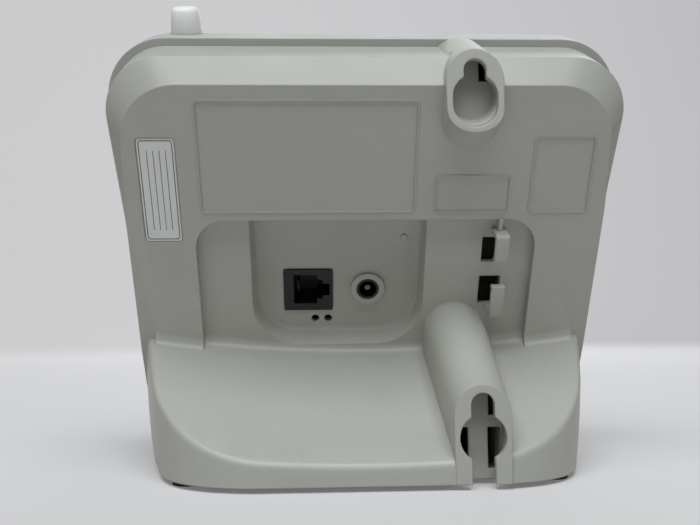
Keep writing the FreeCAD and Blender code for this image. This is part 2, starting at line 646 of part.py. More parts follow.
def keyPosts():
    return [("9", "42.5"), ("73", "42.5"), ("9", "133.5"), ("73", "133.5")]


def frontHousing():
    outer = frontBlock("frontOuter", "0", "Dims.splitAt", "Dims.frontAt", "Dims.frontRound")
    trimToChin(outer, "frontOuterTrim", "0", "0")
    ledge = frontBlock("frontLedge", "(Dims.rimOver + Dims.wall)", "Dims.splitAt - 1", "Dims.splitAt + 4")
    trimToChin(ledge, "frontLedgeTrim", "Dims.shell", "Dims.wall")
    hollow = frontBlock("frontHollow", "Dims.shell", "Dims.splitAt + 2.6", "Dims.frontAt - Dims.shell",
                        "Dims.frontRound - Dims.shell")
    trimToChin(hollow, "frontHollowTrim", "Dims.shell", "Dims.wall")
    skin = join("frontSkin", "Cut", outer, fuse("frontRoom", [ledge, hollow]))
    inner = "Dims.frontAt - Dims.shell"
    solids = [cradle("cradleShell", "Dims.shell", "Dims.frontAt - 1")]
    solids += [rod("keyPost%d" % i, x, y, "Dims.keyBoardLevel + Dims.boardThick", "2.6",
                   "%s + 0.2 - Dims.keyBoardLevel - Dims.boardThick" % inner)
               for i, (x, y) in enumerate(keyPosts())]
    pen = rod("speakerPen", "Dims.controlX", "Dims.speakerY", "44", "Dims.speakerRadius + 1.8", inner + " + 0.2 - 44")
    penRoom = rod("speakerRoom", "Dims.controlX", "Dims.speakerY", "43", "Dims.speakerRadius + 0.3", inner + " - 43")
    solids.append(join("speakerWall", "Cut", pen, penRoom))
    collar = doc.addObject("Part::Cylinder", "antennaCollar")
    collar.Placement.Rotation = FreeCAD.Rotation(Vector(1, 0, 0), -90)
    bind(collar, {"Placement.Base.x": "63.4", "Placement.Base.y": "Dims.slabTop - 3", "Placement.Base.z": "43",
                  "Radius": "6.3", "Height": "Dims.rimOver + 3.5"})
    solids.append(collar)
    body = fuse("frontBody", [skin] + solids)
    bore = doc.addObject("Part::Cylinder", "antennaBore")
    bore.Placement.Rotation = FreeCAD.Rotation(Vector(1, 0, 0), -90)
    bind(bore, {"Placement.Base.x": "63.4", "Placement.Base.y": "Dims.slabTop - 8", "Placement.Base.z": "43",
                "Radius": "4.1", "Height": "20"})
    over = "Dims.frontAt + 2"
    cuts = [cradle("cradleRoom", "0", over), bore,
            windowBlock("lensSeat", "Dims.controlX", "Dims.lensY", "Dims.lensWide + 0.2", "Dims.lensTall + 0.2",
                        "2.1", "Dims.frontAt - 1.6", over),
            windowBlock("lensWindow", "Dims.controlX", "Dims.lensY", "30", "15", "1.5", inner + " - 1", over),
            windowBlock("pipeHole", "Dims.controlX", "129.5", "8.1", "3.1", "1.5", inner + " - 1", over),
            rod("micHole", "64.5", "127.5", inner + " - 1", "0.8", "5"),
            box("tabSlot", "-43.2", "117.8", "Dims.cradleFloor - 4", "10.4", "3.4", "6")]
    for name, x, y, wide, tall in keys():
        cuts.append(keyBlock(name + "Hole", x, y, wide, tall, "Dims.keyClear", inner + " - 1", over))
    for side in ("-", "+"):
        middle = "Dims.cradleX %s Dims.contactGap / 2" % side
        cuts.append(box("contactSlot%d" % (side == "+"), middle + " - 1.6", "Dims.cradleLow - 4",
                        "Dims.contactLevel - 3.7", "3.2", "6", "7.4"))
    for ring, count in ((0, 1), (5, 6), (10, 12), (15, 18)):
        for i in range(count):
            angle = 360.0 * i / count
            cuts.append(rod("grille%d_%d" % (ring, i), "Dims.controlX + %d * cos(%g deg)" % (ring, angle),
                            "Dims.speakerY + %d * sin(%g deg)" % (ring, angle), inner + " - 1", "1.1", "5"))
    cuts += [rod("keyPilot%d" % i, x, y, "Dims.keyBoardLevel", "1.3", "8") for i, (x, y) in enumerate(keyPosts())]
    drilled = join("frontDrilled", "Cut", body, fuse("frontCuts", cuts))
    lean(drilled)
    columns = [rod("column%d" % i, x, y, "6", "3.6", "44") for i, (x, y) in enumerate(screwPlaces())]
    pilots = [rod("columnPilot%d" % i, x, y, "5", "1.5", "14") for i, (x, y) in enumerate(screwPlaces())]
    return join("front_housing", "Cut", fuse("frontSolid", [drilled] + columns), fuse("columnPilots", pilots))


# ---------------------------------------------------------------- controls

def keyCap(name, x, y, wide, tall):
    # Cap with a retaining flange behind the front and a stem over its dome.
    base = "(Dims.frontAt - Dims.shell - 0.3 - Dims.flange)"
    top = "Dims.frontAt + Dims.keyProud"
    body = newBody(name + "Cap")
    sketch = sketchOn(body, name + "CapSketch", level=base)
    if tall is None:
        drawCircle(sketch, "0", "0", wide + " / 2")
    else:
        drawWindow(sketch, "0", "0", wide, tall, tall + " / 2 - 0.2")
    pad(body, sketch, name + "CapPad", "%s - %s" % (top, base))
    level = number(top)
    fillet(body, name + "CapEdge", "0.7", lambda edge: flatAt(edge, level))
    flange = keyBlock(name + "Flange", "0", "0", wide, tall, "1.4", base, base + " + Dims.flange")
    stem = rod(name + "Stem", "0", "0", "Dims.keyBoardLevel + 3.9", "2.2", "%s - Dims.keyBoardLevel - 3.9" % base)
    return lean(fuse(name, [body, flange, stem]), x, y)


def keypadMat():
    sheetBlock = windowBlock("matSheet", "Dims.controlX", "68.5", "56", "51", "3",
                             "Dims.keyBoardLevel + Dims.boardThick", "Dims.keyBoardLevel + Dims.boardThick + 0.7")
    domes = []
    for name, x, y, wide, tall in keys():
        cone = doc.addObject("Part::Cone", name + "Dome")
        bind(cone, {"Placement.Base.x": x, "Placement.Base.y": y,
                    "Placement.Base.z": "Dims.keyBoardLevel + Dims.boardThick + 0.5",
                    "Radius1": "3.6", "Radius2": "2.4", "Height": "0.75"})
        domes.append(cone)
    return lean(fuse("keypad_mat", [sheetBlock] + domes))


def board(name, left, right, low, high, level, holes):
    plate = windowBlock(name + "Plate", "(%s + %s) / 2" % (left, right), "(%s + %s) / 2" % (low, high),
                        "%s - (%s)" % (right, left), "%s - %s" % (high, low), "1.5", level,
                        level + " + Dims.boardThick")
    drills = [rod("%sHole%d" % (name, i), hole[0], hole[1], level + " - 1", "1.5", "4")
              for i, hole in enumerate(holes)]
    return lean(join(name, "Cut", plate, fuse(name + "Holes", drills)))


def revolved(name, profile):
    # Turned piece about its own y axis from (radius, y) corners.
    body = newBody(name)
    sketch = sketchOn(body, name + "Profile")
    drawPolygon(sketch, profile)
    feature = body.newObject("PartDesign::Revolution", name + "Turn")
    feature.Profile = sketch
    feature.ReferenceAxis = (sketch, ["V_Axis"])
    feature.Angle = 360
    doc.recompute()
    return body


def antennaCap():
    body = revolved("antennaTurned", [
        ("0", "-6"), ("4", "-6"), ("4", "0.5"), ("5.75", "0.5"), ("5.2", "5.2"), ("3.9", "7.8"), ("0", "8.9")])
    body.Label = "antenna_cap"
    return lean(body, "63.4", "Dims.slabTop + Dims.rimOver", "43")


def antennaWire():
    pieces = [box("wireTop", "62.8", "138.4", "42.4", "1.2", "4.9", "1.2"),
              box("wireDrop", "62.8", "138.4", "29.4", "1.2", "1.2", "14.2"),
              box("wireFoot", "62.8", "121", "Dims.boardLevel + Dims.boardThick + 4", "1.2", "18.6", "1.2")]
    wire = fuse("antenna_wire", pieces)
    return lean(wire)


# ---------------------------------------------------------------- sockets

def phoneJack():
    left, low = "(Dims.phoneX - Dims.phoneWide / 2)", "(Dims.phoneY - Dims.phoneTall / 2)"
    face = "(Dims.jackBayDeep - 0.6)"
    block = box("jackBlock", left, low, face, "Dims.phoneWide", "Dims.phoneTall", "Dims.boardLevel - %s" % face)
    mouth = box("jackMouth", "17.1", "59.0", "5", "8.3", "11.4", "17")
    step = box("jackStep", "15.0", "60.9", "5", "3", "7.7", "17")
    latch = box("jackLatch", "12.5", "62.2", "5", "4", "4.7", "17")
    return lean(join("phone_jack", "Cut", block, fuse("jackRoom", [mouth, step, latch])))


def phoneContacts():
    wires = []
    for i in range(4):
        y = "64.7 - 0.23 + %g" % (1.02 * (i - 1.5))
        wires.append(box("wireSpring%d" % i, "23.6", y, "12", "0.46", "0.46", "9"))
        wires.append(box("wireRoot%d" % i, "23.6", y, "20.5", "1.8", "0.46", "0.5"))
    return lean(fuse("phone_jack_contacts", wires))


def powerJack():
    nose = rod("powerNose", "Dims.powerX", "Dims.powerY", "Dims.jackBayDeep - 1.2", "3.9", "6")
    block = box("powerBlock", "Dims.powerX - 5", "Dims.powerY - 6", "Dims.jackBayDeep + Dims.wall", "10", "12",
                "Dims.boardLevel - Dims.jackBayDeep - Dims.wall")
    bore = rod("powerBore", "Dims.powerX", "Dims.powerY", "5", "Dims.barrelRadius", "16")
    return lean(join("power_jack", "Cut", fuse("powerSolid", [nose, block]), bore))


def powerPin():
    shaft = rod("pinShaft", "Dims.powerX", "Dims.powerY", "10.4", "1", "10.6")
    return lean(fuse("power_jack_pin", [shaft, rod("pinTip", "Dims.powerX", "Dims.powerY", "10", "0.7", "1")]))


# ---------------------------------------------------------------- electronics

def cone(name, z, low, high, height):
    item = doc.addObject("Part::Cone", name)
    bind(item, {"Placement.Base.x": "Dims.controlX", "Placement.Base.y": "Dims.speakerY",
                "Placement.Base.z": z, "Radius1": low, "Radius2": high, "Height": height})
    return item


def speakerRod(name, z, radius, height):
    return rod(name, "Dims.controlX", "Dims.speakerY", z, radius, height)


def speaker():
    rim = speakerRod("basketRim", "46", "Dims.speakerRadius", "1.8")
    basket = cone("basketOuter", "37", "12", "18.4", "9.5")
    room = cone("basketRoom", "38", "11", "17.2", "9")
    mouth = speakerRod("basketMouth", "46", "17.2", "3")
    bore = speakerRod("frameBore", "36", "3.2", "3")
    frame = join("speaker_frame", "Cut", fuse("basket", [rim, basket]), fuse("basketCut", [room, mouth, bore]))
    paper = join("speaker_cone", "Cut", cone("paperOuter", "40.5", "6", "16.8", "6.5"),
                 cone("paperRoom", "41", "5.6", "16.5", "6.6"))
    magnet = fuse("speaker_magnet", [speakerRod("magnetBody", "29", "11", "8"),
                                     speakerRod("magnetPole", "38", "3.2", "2.5"),
                                     speakerRod("magnetFoot", "36", "3.2", "2")])
    ring = join("speaker_ring", "Cut", speakerRod("feltOuter", "47.8", "Dims.speakerRadius", "1"),
                speakerRod("feltRoom", "47", "17.6", "3"))
    return [lean(item) for item in (frame, paper, magnet, ring)]


def chip(name, x, y, wide, deep, high):
    # Block on the front side of the main board.
    item = box(name, "0", "0", "0", wide, deep, high)
    item.Label = name
    return lean(item, x, y, "Dims.boardLevel + Dims.boardThick")


def chips():
    top = "Dims.boardLevel + Dims.boardThick"
    cans = fuse("capacitors", [rod("can%d" % i, x, y, top, "4", "10.5")
                               for i, (x, y) in enumerate((("1", "60"), ("1", "72"), ("11", "66")))])
    return [chip("radio_shield", "41", "99", "30", "26", "4"), chip("processor", "23", "105", "14", "14", "1.6"),
            chip("line_transformer", "13", "78", "14", "12", "10"),
            chip("board_link", "68.7", "78", "2.5", "20", "Dims.keyBoardLevel - (%s)" % top), lean(cans)]


def displayModule():
    return lean(windowBlock("display_module", "Dims.controlX", "Dims.lensY", "26", "17", "0.5",
                            "Dims.keyBoardLevel + Dims.boardThick", "Dims.keyBoardLevel + Dims.boardThick + 6"))


def microphone():
    boot = join("microphone_boot", "Cut", rod("bootBody", "64.5", "127.5", "43", "6", "5.8"),
                rod("bootRoom", "64.5", "127.5", "44.2", "4.9", "6"))
    capsule = rod("microphone", "0", "0", "0", "4.85", "4.4")
    capsule.Label = "microphone"
    return [lean(boot), lean(capsule, "64.5", "127.5", "44.2")]


# ---------------------------------------------------------------- cradle pieces

def handsetTab():
    foot = box("tabFoot", "-45.5", "116.5", "Dims.cradleFloor - 3.8", "15", "6", "1.6")
    neck = box("tabNeck", "-43", "118", "Dims.cradleFloor - 3", "10", "3", "8")
    hook = box("tabHook", "-43", "118", "Dims.cradleFloor + 3", "10", "5.5", "2")
    return lean(fuse("handset_tab", [foot, neck, hook]))


def chargeContact(name, side):
    x = "Dims.cradleX %s Dims.contactGap / 2" % side
    body = newBody(name)
    sketch = sketchOn(body, name + "Sketch", "YZ_Plane")
    low, high = "Dims.contactLevel - 3", "Dims.contactLevel + 3"
    top = "Dims.cradleLow + Dims.contactRise"
    drawPolygon(sketch, [("-2.6", low), ("Dims.cradleLow + 0.8", low), (top, "Dims.contactLevel - 1"),
                         (top, "Dims.contactLevel + 1"), ("Dims.cradleLow + 0.8", high), ("-2.6", high)])
    pad(body, sketch, name + "Pad", "2.6", both=True)
    return lean(body, x)


def contactCarrier():
    block = box("carrierBlock", "Dims.cradleX - 17", "-6.6", "Dims.contactLevel - 5", "34",
                "Dims.cradleLow - Dims.shell + 6.6", "10")
    rooms = []
    for side in ("-", "+"):
        middle = "Dims.cradleX %s Dims.contactGap / 2" % side
        rooms.append(box("carrierRoom%d" % (side == "+"), middle + " - 1.6", "-4.8",
                         "Dims.contactLevel - 3.7", "3.2", "10", "7.4"))
    return lean(join("contact_carrier", "Cut", block, fuse("carrierRooms", rooms)))


# ---------------------------------------------------------------- fasteners and feet

def boardScrews():
    pieces = []
    back, front = "Dims.boardLevel + Dims.boardThick", "Dims.keyBoardLevel"
    for i, spot in enumerate(boardPosts()):
        pieces.append(rod("mainHead%d" % i, spot[0], spot[1], back, "2.6", "1.6"))
        pieces.append(rod("mainShank%d" % i, spot[0], spot[1], back + " - 8", "1.25", "9"))
    for i, spot in enumerate(keyPosts()):
        pieces.append(rod("keyHead%d" % i, spot[0], spot[1], front + " - 1.6", "2.6", "1.6"))
        pieces.append(rod("keyShank%d" % i, spot[0], spot[1], front + " - 1", "1.25", "8"))
    return lean(fuse("board_screws", pieces))


def housingScrews():
    pieces = []
    for i, (x, y) in enumerate(screwPlaces()):
        pieces.append(rod("housingHead%d" % i, x, y, "1.9", "3.1", "2.1"))
        pieces.append(rod("housingShank%d" % i, x, y, "3", "1.45", "13"))
    return fuse("housing_screws", pieces)


def rubberFeet():
    return fuse("rubber_feet", [rod("rubber%d" % i, x, y, "0", "5", "2.2") for i, (x, y) in enumerate(feetPlaces())])


def build():
    keep(rearHousing())
    keep(frontHousing())
    for key in keys():
        keep(keyCap(*key))
    keep(keypadMat())
    keep(lean(windowBlock("display_lens", "Dims.controlX", "Dims.lensY", "Dims.lensWide", "Dims.lensTall", "2",
                          "Dims.frontAt - 1.6", "Dims.frontAt")))
    keep(lean(windowBlock("message_light_pipe", "Dims.controlX", "129.5", "8", "3", "1.45", "41.2",
                          "Dims.frontAt + 0.2")))
    keep(lean(windowBlock("label_sticker", "67.7", "105.1", "11.8", "34.8", "1", "0.25", "0.5")))
    keep(board("main_board", "-5.5", "76", "45", "134", "Dims.boardLevel", boardPosts()))
    keep(board("key_board", "6", "76", "39", "137", "Dims.keyBoardLevel", keyPosts()))
    for item in speaker() + chips() + microphone():
        keep(item)
    keep(displayModule())
    keep(antennaCap())
    keep(antennaWire())
    keep(phoneJack())
    keep(phoneContacts())
    keep(powerJack())
    keep(powerPin())
    keep(handsetTab())
    keep(chargeContact("charge_contact_left", "-"))
    keep(chargeContact("charge_contact_right", "+"))
    keep(contactCarrier())
    keep(boardScrews())
    keep(housingScrews())
    keep(rubberFeet())


build()
doc.recompute()
for item in doc.Objects:
    if "Invalid" in item.State or "Error" in item.State:
        raise RuntimeError(item.Name + " did not compute")
os.makedirs("parts", exist_ok=True)
for name, item in parts.items():
    if item.Shape.isNull() or not item.Shape.isValid():
        raise RuntimeError(name + " has no sound shape")
    item.Shape.exportStep("parts/%s.step" % name)
    print(name, len(item.Shape.Solids), round(item.Shape.Volume, 1))
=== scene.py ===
import bpy
import math
from mathutils import Matrix, Vector


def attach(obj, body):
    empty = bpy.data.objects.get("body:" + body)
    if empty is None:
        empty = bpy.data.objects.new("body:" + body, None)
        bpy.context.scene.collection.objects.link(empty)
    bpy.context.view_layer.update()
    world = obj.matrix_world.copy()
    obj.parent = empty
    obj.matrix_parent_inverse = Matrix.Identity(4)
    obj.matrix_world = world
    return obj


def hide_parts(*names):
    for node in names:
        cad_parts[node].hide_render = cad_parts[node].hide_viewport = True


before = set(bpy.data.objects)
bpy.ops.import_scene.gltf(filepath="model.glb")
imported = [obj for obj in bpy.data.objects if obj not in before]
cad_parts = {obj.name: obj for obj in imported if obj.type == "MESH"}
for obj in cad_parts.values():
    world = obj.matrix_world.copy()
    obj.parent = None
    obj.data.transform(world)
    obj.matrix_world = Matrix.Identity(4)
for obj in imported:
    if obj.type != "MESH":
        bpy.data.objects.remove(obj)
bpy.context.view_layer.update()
scene = bpy.context.scene
print("frame loaded")


def tone(red, green, blue):
    # Screen values 0 to 255 as a linear colour.
    steps = [value / 255 for value in (red, green, blue)]
    linear = [s / 12.92 if s <= 0.04045 else ((s + 0.055) / 1.055) ** 2.4 for s in steps]
    return (*linear, 1.0)


# Sums of shader values.

class Wire:
    # One socket of a material, usable in sums.
    def __init__(self, finish, socket):
        self.finish = finish
        self.socket = socket

    def math(self, operation, first, second):
        return self.finish.node("ShaderNodeMath", {"operation": operation}, [first, second])

    def __add__(self, other):
        return self.math("ADD", self, other)

    def __radd__(self, other):
        return self.math("ADD", other, self)

    def __sub__(self, other):
        return self.math("SUBTRACT", self, other)

    def __rsub__(self, other):
        return self.math("SUBTRACT", other, self)

    def __mul__(self, other):
        return self.math("MULTIPLY", self, other)


class Finish:
    # One material, built node by node around its Principled shader.
    def __init__(self, name, **constants):
        self.material = bpy.data.materials.new(name)
        self.material.use_nodes = True
        self.tree = self.material.node_tree
        self.shader = self.tree.nodes["Principled BSDF"]
        self.place = self.node("ShaderNodeTexCoord", {}, {}, "Object")
        for socket, value in constants.items():
            self.shader.inputs[socket.replace("_", " ")].default_value = value

    def node(self, kind, settings, values, output=0):
        made = self.tree.nodes.new(kind)
        for name, value in settings.items():
            setattr(made, name, value)
        for key, value in (values.items() if isinstance(values, dict) else enumerate(values)):
            self.join(made.inputs[key], value)
        return Wire(self, made.outputs[output])

    def join(self, socket, value):
        if isinstance(value, Wire):
            self.tree.links.new(value.socket, socket)
        else:
            socket.default_value = value

    def feed(self, socket, value):
        self.join(self.shader.inputs[socket], value)

    def noise(self, size, detail=2.0, rough=0.5, stretch=None):
        # Noise from 0 to 1 with features about this many metres across.
        place = self.place
        if stretch:
            place = self.node("ShaderNodeMapping", {}, {"Vector": place, "Scale": stretch})
        return self.node("ShaderNodeTexNoise", {}, {"Vector": place, "Scale": 1 / size,
                                                    "Detail": detail, "Roughness": rough}, "Fac")

    def specks(self, spacing, size):
        # 1 in small dots, 0 elsewhere.
        away = self.node("ShaderNodeTexVoronoi", {}, {"Vector": self.place, "Scale": 1 / spacing}, "Distance")
        return self.band(away, size / spacing, size / spacing * 0.5)

    def band(self, value, start, end):
        # 0 at start and 1 at end, held outside.
        return self.node("ShaderNodeMapRange", {"clamp": True},
                         {"Value": value, "From Min": start, "From Max": end}, "Result")

    def blend(self, first, second, amount):
        return self.node("ShaderNodeMix", {"data_type": "RGBA"},
                         {"Factor": amount, 6: first, 7: second}, 2)

    def softEdge(self, radius):
        # Normals that run round the edges of the mesh as on a moulding.
        return self.node("ShaderNodeBevel", {"samples": 6}, {"Radius": radius}, "Normal")

    def bump(self, height, depth, strength, under=None):
        values = {"Height": height, "Distance": depth, "Strength": strength}
        if under:
            values["Normal"] = under
        return self.node("ShaderNodeBump", {}, values, "Normal")


def shade(colour, factor):
    return (*(channel * factor for channel in colour[:3]), 1.0)


def dress(finish, *nodes):
    for name in nodes:
        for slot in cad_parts[name].material_slots:
            slot.material = finish.material


# Finishes.

def mouldedPlastic(name, look):
    # Spark-textured moulding with faint flow marks, dust and rubbed spots.
    finish = Finish(name, IOR=1.49)
    body = finish.noise(0.05, 3.0)
    flow = finish.noise(0.004, 2.0, stretch=(1.0, 0.25, 0.25))
    deeper, paler = (shade(look["colour"], 1 + side * look["mottle"]) for side in (-1, 1))
    colour = finish.blend(deeper, paler, body)
    dust = finish.specks(0.011, 0.00045) * finish.band(finish.noise(0.03), 0.45, 0.6)
    colour = finish.blend(colour, shade(look["colour"], 1.35), dust * look["dust"])
    grime = finish.band(finish.noise(0.018, 4.0, 0.65), 0.52, 0.8)
    colour = finish.blend(colour, shade(look["colour"], 0.86), grime * look["grime"])
    finish.feed("Base Color", colour)
    rubbed = finish.band(finish.noise(0.022, 3.0), 0.5, 0.75)
    grain = finish.noise(look["grain"], 2.0, 0.6)
    finish.feed("Roughness", look["rough"] + flow * 0.05 + grain * 0.08 - rubbed * 0.07)
    peel = finish.bump(finish.noise(0.0035, 2.0), 0.00003, look["peel"], finish.softEdge(look["edge"]))
    finish.feed("Normal", finish.bump(grain, look["grain"] * 0.12, look["texture"], peel))
    return finish


def glossPlastic(name, look):
    finish = Finish(name, IOR=1.5)
    cloud = finish.noise(0.006, 3.0)
    smear = finish.band(finish.noise(0.003, 4.0, 0.6), 0.45, 0.8)
    colour = finish.blend(shade(look["colour"], 0.85), shade(look["colour"], 1.2), cloud)
    dust = finish.specks(0.0022, 0.00012) * finish.band(cloud, 0.5, 0.65)
    finish.feed("Base Color", finish.blend(colour, tone(150, 148, 142), dust * look["dust"]))
    finish.feed("Roughness", look["rough"] + smear * 0.16)
    peel = finish.noise(0.0007, 2.0)
    finish.feed("Normal", finish.bump(peel, 0.00002, look["texture"], finish.softEdge(look["edge"])))
    return finish


def metalSheet(name, look):
    # Rolled or turned metal with fine lines, tarnish and finger marks.
    finish = Finish(name)
    lines = finish.noise(0.0006, 3.0, stretch=look["lines"])
    stain = finish.band(finish.noise(0.007, 4.0, 0.6), 0.45, 0.75)
    colour = finish.blend(look["colour"], look["stain"], stain * 0.6)
    finish.feed("Base Color", colour)
    finish.feed("Metallic", 1.0 - stain * 0.15)
    finish.feed("Roughness", look["rough"] + lines * 0.14 + stain * 0.12)
    finish.feed("Normal", finish.bump(lines, 0.00002, look["texture"]))
    return finish


def softRubber(name, look):
    finish = Finish(name)
    wear = finish.band(finish.noise(0.004, 4.0, 0.6), 0.45, 0.75)
    finish.feed("Base Color", finish.blend(look["colour"], look["worn"], wear))
    finish.feed("Roughness", 0.72 + wear * 0.15)
    finish.feed("Normal", finish.bump(finish.noise(0.0004, 3.0), 0.00004, 0.6))
    return finish


def labelPaper(name, look):
    finish = Finish(name)
    fibre = finish.noise(0.0012, 4.0, 0.6)
    handled = finish.band(finish.noise(0.012, 3.0), 0.5, 0.8)
    colour = finish.blend(look["colour"], look["fibre"], fibre)
    finish.feed("Base Color", finish.blend(colour, look["handled"], handled * 0.5))
    finish.feed("Roughness", look["rough"] + handled * 0.12)
    finish.feed("Normal", finish.bump(fibre, 0.00002, 0.5))
    return finish


def padInk(name, look):
    # Printed ink, a little worn where fingers or dust reach it; the lit display segments use it too, with their
    # glow painted into the colour.
    finish = Finish(name)
    worn = finish.band(finish.noise(0.0012, 4.0, 0.65), 0.5, 0.8)
    finish.feed("Base Color", finish.blend(look["colour"], look["worn"], worn))
    finish.feed("Roughness", look["rough"] + worn * 0.2)
    finish.feed("Normal", finish.bump(finish.noise(0.0003, 2.0), 0.00001, 0.4))
    return finish


def circuitLaminate(name):
    # Green lacquer over copper runs.
    finish = Finish(name)
    runs = finish.node("ShaderNodeTexVoronoi", {"distance": "MANHATTAN"},
                       {"Vector": finish.place, "Scale": 260.0}, "Distance")
    copper = finish.band(runs, 0.42, 0.46)
    colour = finish.blend(tone(22, 70, 40), tone(46, 110, 62), copper)
    finish.feed("Base Color", finish.blend(colour, tone(16, 50, 30), finish.noise(0.02)))
    finish.feed("Roughness", 0.32 + finish.noise(0.003) * 0.15)
    finish.feed("Normal", finish.bump(copper, 0.00004, 0.5))
    return finish


housingLook = {"colour": tone(177, 178, 171), "mottle": 0.02, "dust": 0.35, "grime": 0.35, "rough": 0.33,
               "grain": 0.00045, "texture": 0.35, "peel": 0.4, "edge": 0.0006}
frontLook = dict(housingLook, colour=tone(182, 184, 180), grime=0.2, rough=0.38)
antennaLook = dict(housingLook, colour=tone(236, 237, 236), grime=0.15, rough=0.42, texture=0.2)
antennaGlow = {"Subsurface Weight": 0.7, "Subsurface Radius": (1.0, 1.0, 1.0), "Subsurface Scale": 0.007}
keyLook = dict(housingLook, colour=tone(120, 122, 124), rough=0.46)
playLook = dict(housingLook, colour=tone(66, 92, 128), rough=0.42)
socketLook = {"colour": tone(16, 16, 17), "rough": 0.38, "texture": 0.5, "dust": 0.4, "edge": 0.0002}
pipeLook = dict(socketLook, colour=tone(176, 70, 58), rough=0.2, texture=0.2, dust=0.2)

housingPlastic = mouldedPlastic("housingPlastic", housingLook)
frontPlastic = mouldedPlastic("frontPlastic", frontLook)
antennaPlastic = mouldedPlastic("antennaPlastic", antennaLook)
for socket, value in antennaGlow.items():
    antennaPlastic.feed(socket, value)
keyPlastic = mouldedPlastic("keyPlastic", keyLook)
playPlastic = mouldedPlastic("playPlastic", playLook)
socketPlastic = glossPlastic("socketPlastic", socketLook)
displayPlastic = glossPlastic("displayPlastic", dict(socketLook, colour=tone(28, 29, 31), rough=0.25))
chipEpoxy = glossPlastic("chipEpoxy", dict(socketLook, colour=tone(34, 34, 36), rough=0.5))
sleevePlastic = glossPlastic("sleevePlastic", dict(socketLook, colour=tone(28, 34, 58), rough=0.3))
lightPipe = glossPlastic("lightPipe", pipeLook)
footRubber = softRubber("footRubber", {"colour": tone(38, 38, 38), "worn": tone(70, 68, 66)})
keypadSilicone = softRubber("keypadSilicone", {"colour": tone(150, 150, 146), "worn": tone(170, 169, 164)})
coneFelt = softRubber("coneFelt", {"colour": tone(24, 24, 24), "worn": tone(52, 51, 50)})
labelStock = labelPaper("labelStock", {"colour": tone(232, 233, 233), "fibre": tone(222, 223, 223),
                                       "handled": tone(212, 211, 206), "rough": 0.42})
conePaper = labelPaper("conePaper", {"colour": tone(44, 42, 40), "fibre": tone(60, 57, 54),
                                     "handled": tone(36, 34, 33), "rough": 0.8})
contactMetal = metalSheet("contactMetal", {"colour": tone(214, 196, 140), "stain": tone(150, 128, 84),
                                           "rough": 0.22, "lines": (1.0, 0.1, 1.0), "texture": 0.4})
jackWire = metalSheet("jackWire", {"colour": tone(96, 80, 46), "stain": tone(60, 50, 34),
                                   "rough": 0.34, "lines": (1.0, 0.1, 1.0), "texture": 0.4})
pinMetal = metalSheet("pinMetal", {"colour": tone(120, 116, 108), "stain": tone(60, 57, 52),
                                   "rough": 0.3, "lines": (1.0, 1.0, 0.2), "texture": 0.4})
tinSheet = metalSheet("tinSheet", {"colour": tone(190, 190, 186), "stain": tone(132, 130, 124),
                                   "rough": 0.3, "lines": (1.0, 0.08, 0.08), "texture": 0.4})
screwZinc = metalSheet("screwZinc", {"colour": tone(176, 177, 180), "stain": tone(120, 118, 112),
                                     "rough": 0.28, "lines": (1.0, 1.0, 0.2), "texture": 0.5})
magnetIron = metalSheet("magnetIron", {"colour": tone(112, 112, 114), "stain": tone(74, 70, 66),
                                       "rough": 0.45, "lines": (1.0, 1.0, 1.0), "texture": 0.8})
copperWire = metalSheet("copperWire", {"colour": tone(196, 128, 84), "stain": tone(122, 78, 52),
                                       "rough": 0.3, "lines": (0.1, 1.0, 1.0), "texture": 0.4})
circuitGreen = circuitLaminate("circuitGreen")
whiteInk = padInk("whiteInk", {"colour": tone(226, 227, 226), "worn": tone(196, 197, 196), "rough": 0.45})
darkInk = padInk("darkInk", {"colour": tone(44, 44, 46), "worn": tone(74, 74, 76), "rough": 0.5})
# Painted glow: the lit segments' bright red colour stands in for their light, as they give none.
paintedGlowSegment = padInk("paintedGlowSegment", {"colour": tone(214, 92, 66), "worn": tone(190, 76, 56), "rough": 0.35})
dullSegment = padInk("dullSegment", {"colour": tone(58, 52, 50), "worn": tone(48, 44, 43), "rough": 0.35})


def smokedLens():
    finish = Finish("smokedLens", IOR=1.49, Transmission_Weight=0.55)
    haze = finish.band(finish.noise(0.004, 4.0, 0.6), 0.4, 0.8)
    finish.feed("Base Color", finish.blend(tone(52, 58, 60), tone(70, 76, 78), haze))
    finish.feed("Roughness", 0.08 + haze * 0.12)
    finish.feed("Normal", finish.bump(finish.noise(0.0009, 2.0), 0.00001, 0.3))
    return finish


dress(housingPlastic, "rear_housing")
dress(frontPlastic, "front_housing", "handset_tab")
dress(antennaPlastic, "antenna_cap")
dress(socketPlastic, "phone_jack", "power_jack", "board_link", "contact_carrier")
dress(contactMetal, "charge_contact_left", "charge_contact_right")
dress(jackWire, "phone_jack_contacts")
dress(pinMetal, "power_jack_pin")
dress(labelStock, "label_sticker")
dress(footRubber, "rubber_feet", "microphone_boot")
dress(playPlastic, "play_stop_button")
dress(keyPlastic, "repeat_button", "skip_button", "delete_button", "volume_down_button",
      "volume_up_button", "answer_button", "find_handset_button")
dress(smokedLens(), "display_lens")
dress(lightPipe, "message_light_pipe")
dress(circuitGreen, "main_board", "key_board")
dress(keypadSilicone, "keypad_mat")
dress(displayPlastic, "display_module")
dress(tinSheet, "speaker_frame", "radio_shield", "microphone")
dress(conePaper, "speaker_cone")
dress(coneFelt, "speaker_ring")
dress(magnetIron, "speaker_magnet", "line_transformer")
dress(sleevePlastic, "capacitors")
dress(chipEpoxy, "processor")
dress(copperWire, "antenna_wire")
dress(screwZinc, "board_screws", "housing_screws")
print("finishes on the frame's pieces")


# Solid shapes are drawn in millimetres: x, height along the back panel, and level towards the front.

mm = 0.001
tilt = math.radians(28.4)  # lean of the slab from upright
setBack = 9.7  # how far the slab's back plane stands in front of the middle at the floor
leaning = Matrix(((1, 0, 0, 0), (0, math.sin(tilt), -math.cos(tilt), -setBack * mm),
                  (0, math.cos(tilt), math.sin(tilt), 0), (0, 0, 0, 1)))
worldFrame = Matrix.Identity(4)
smoothAngle = math.radians(28)


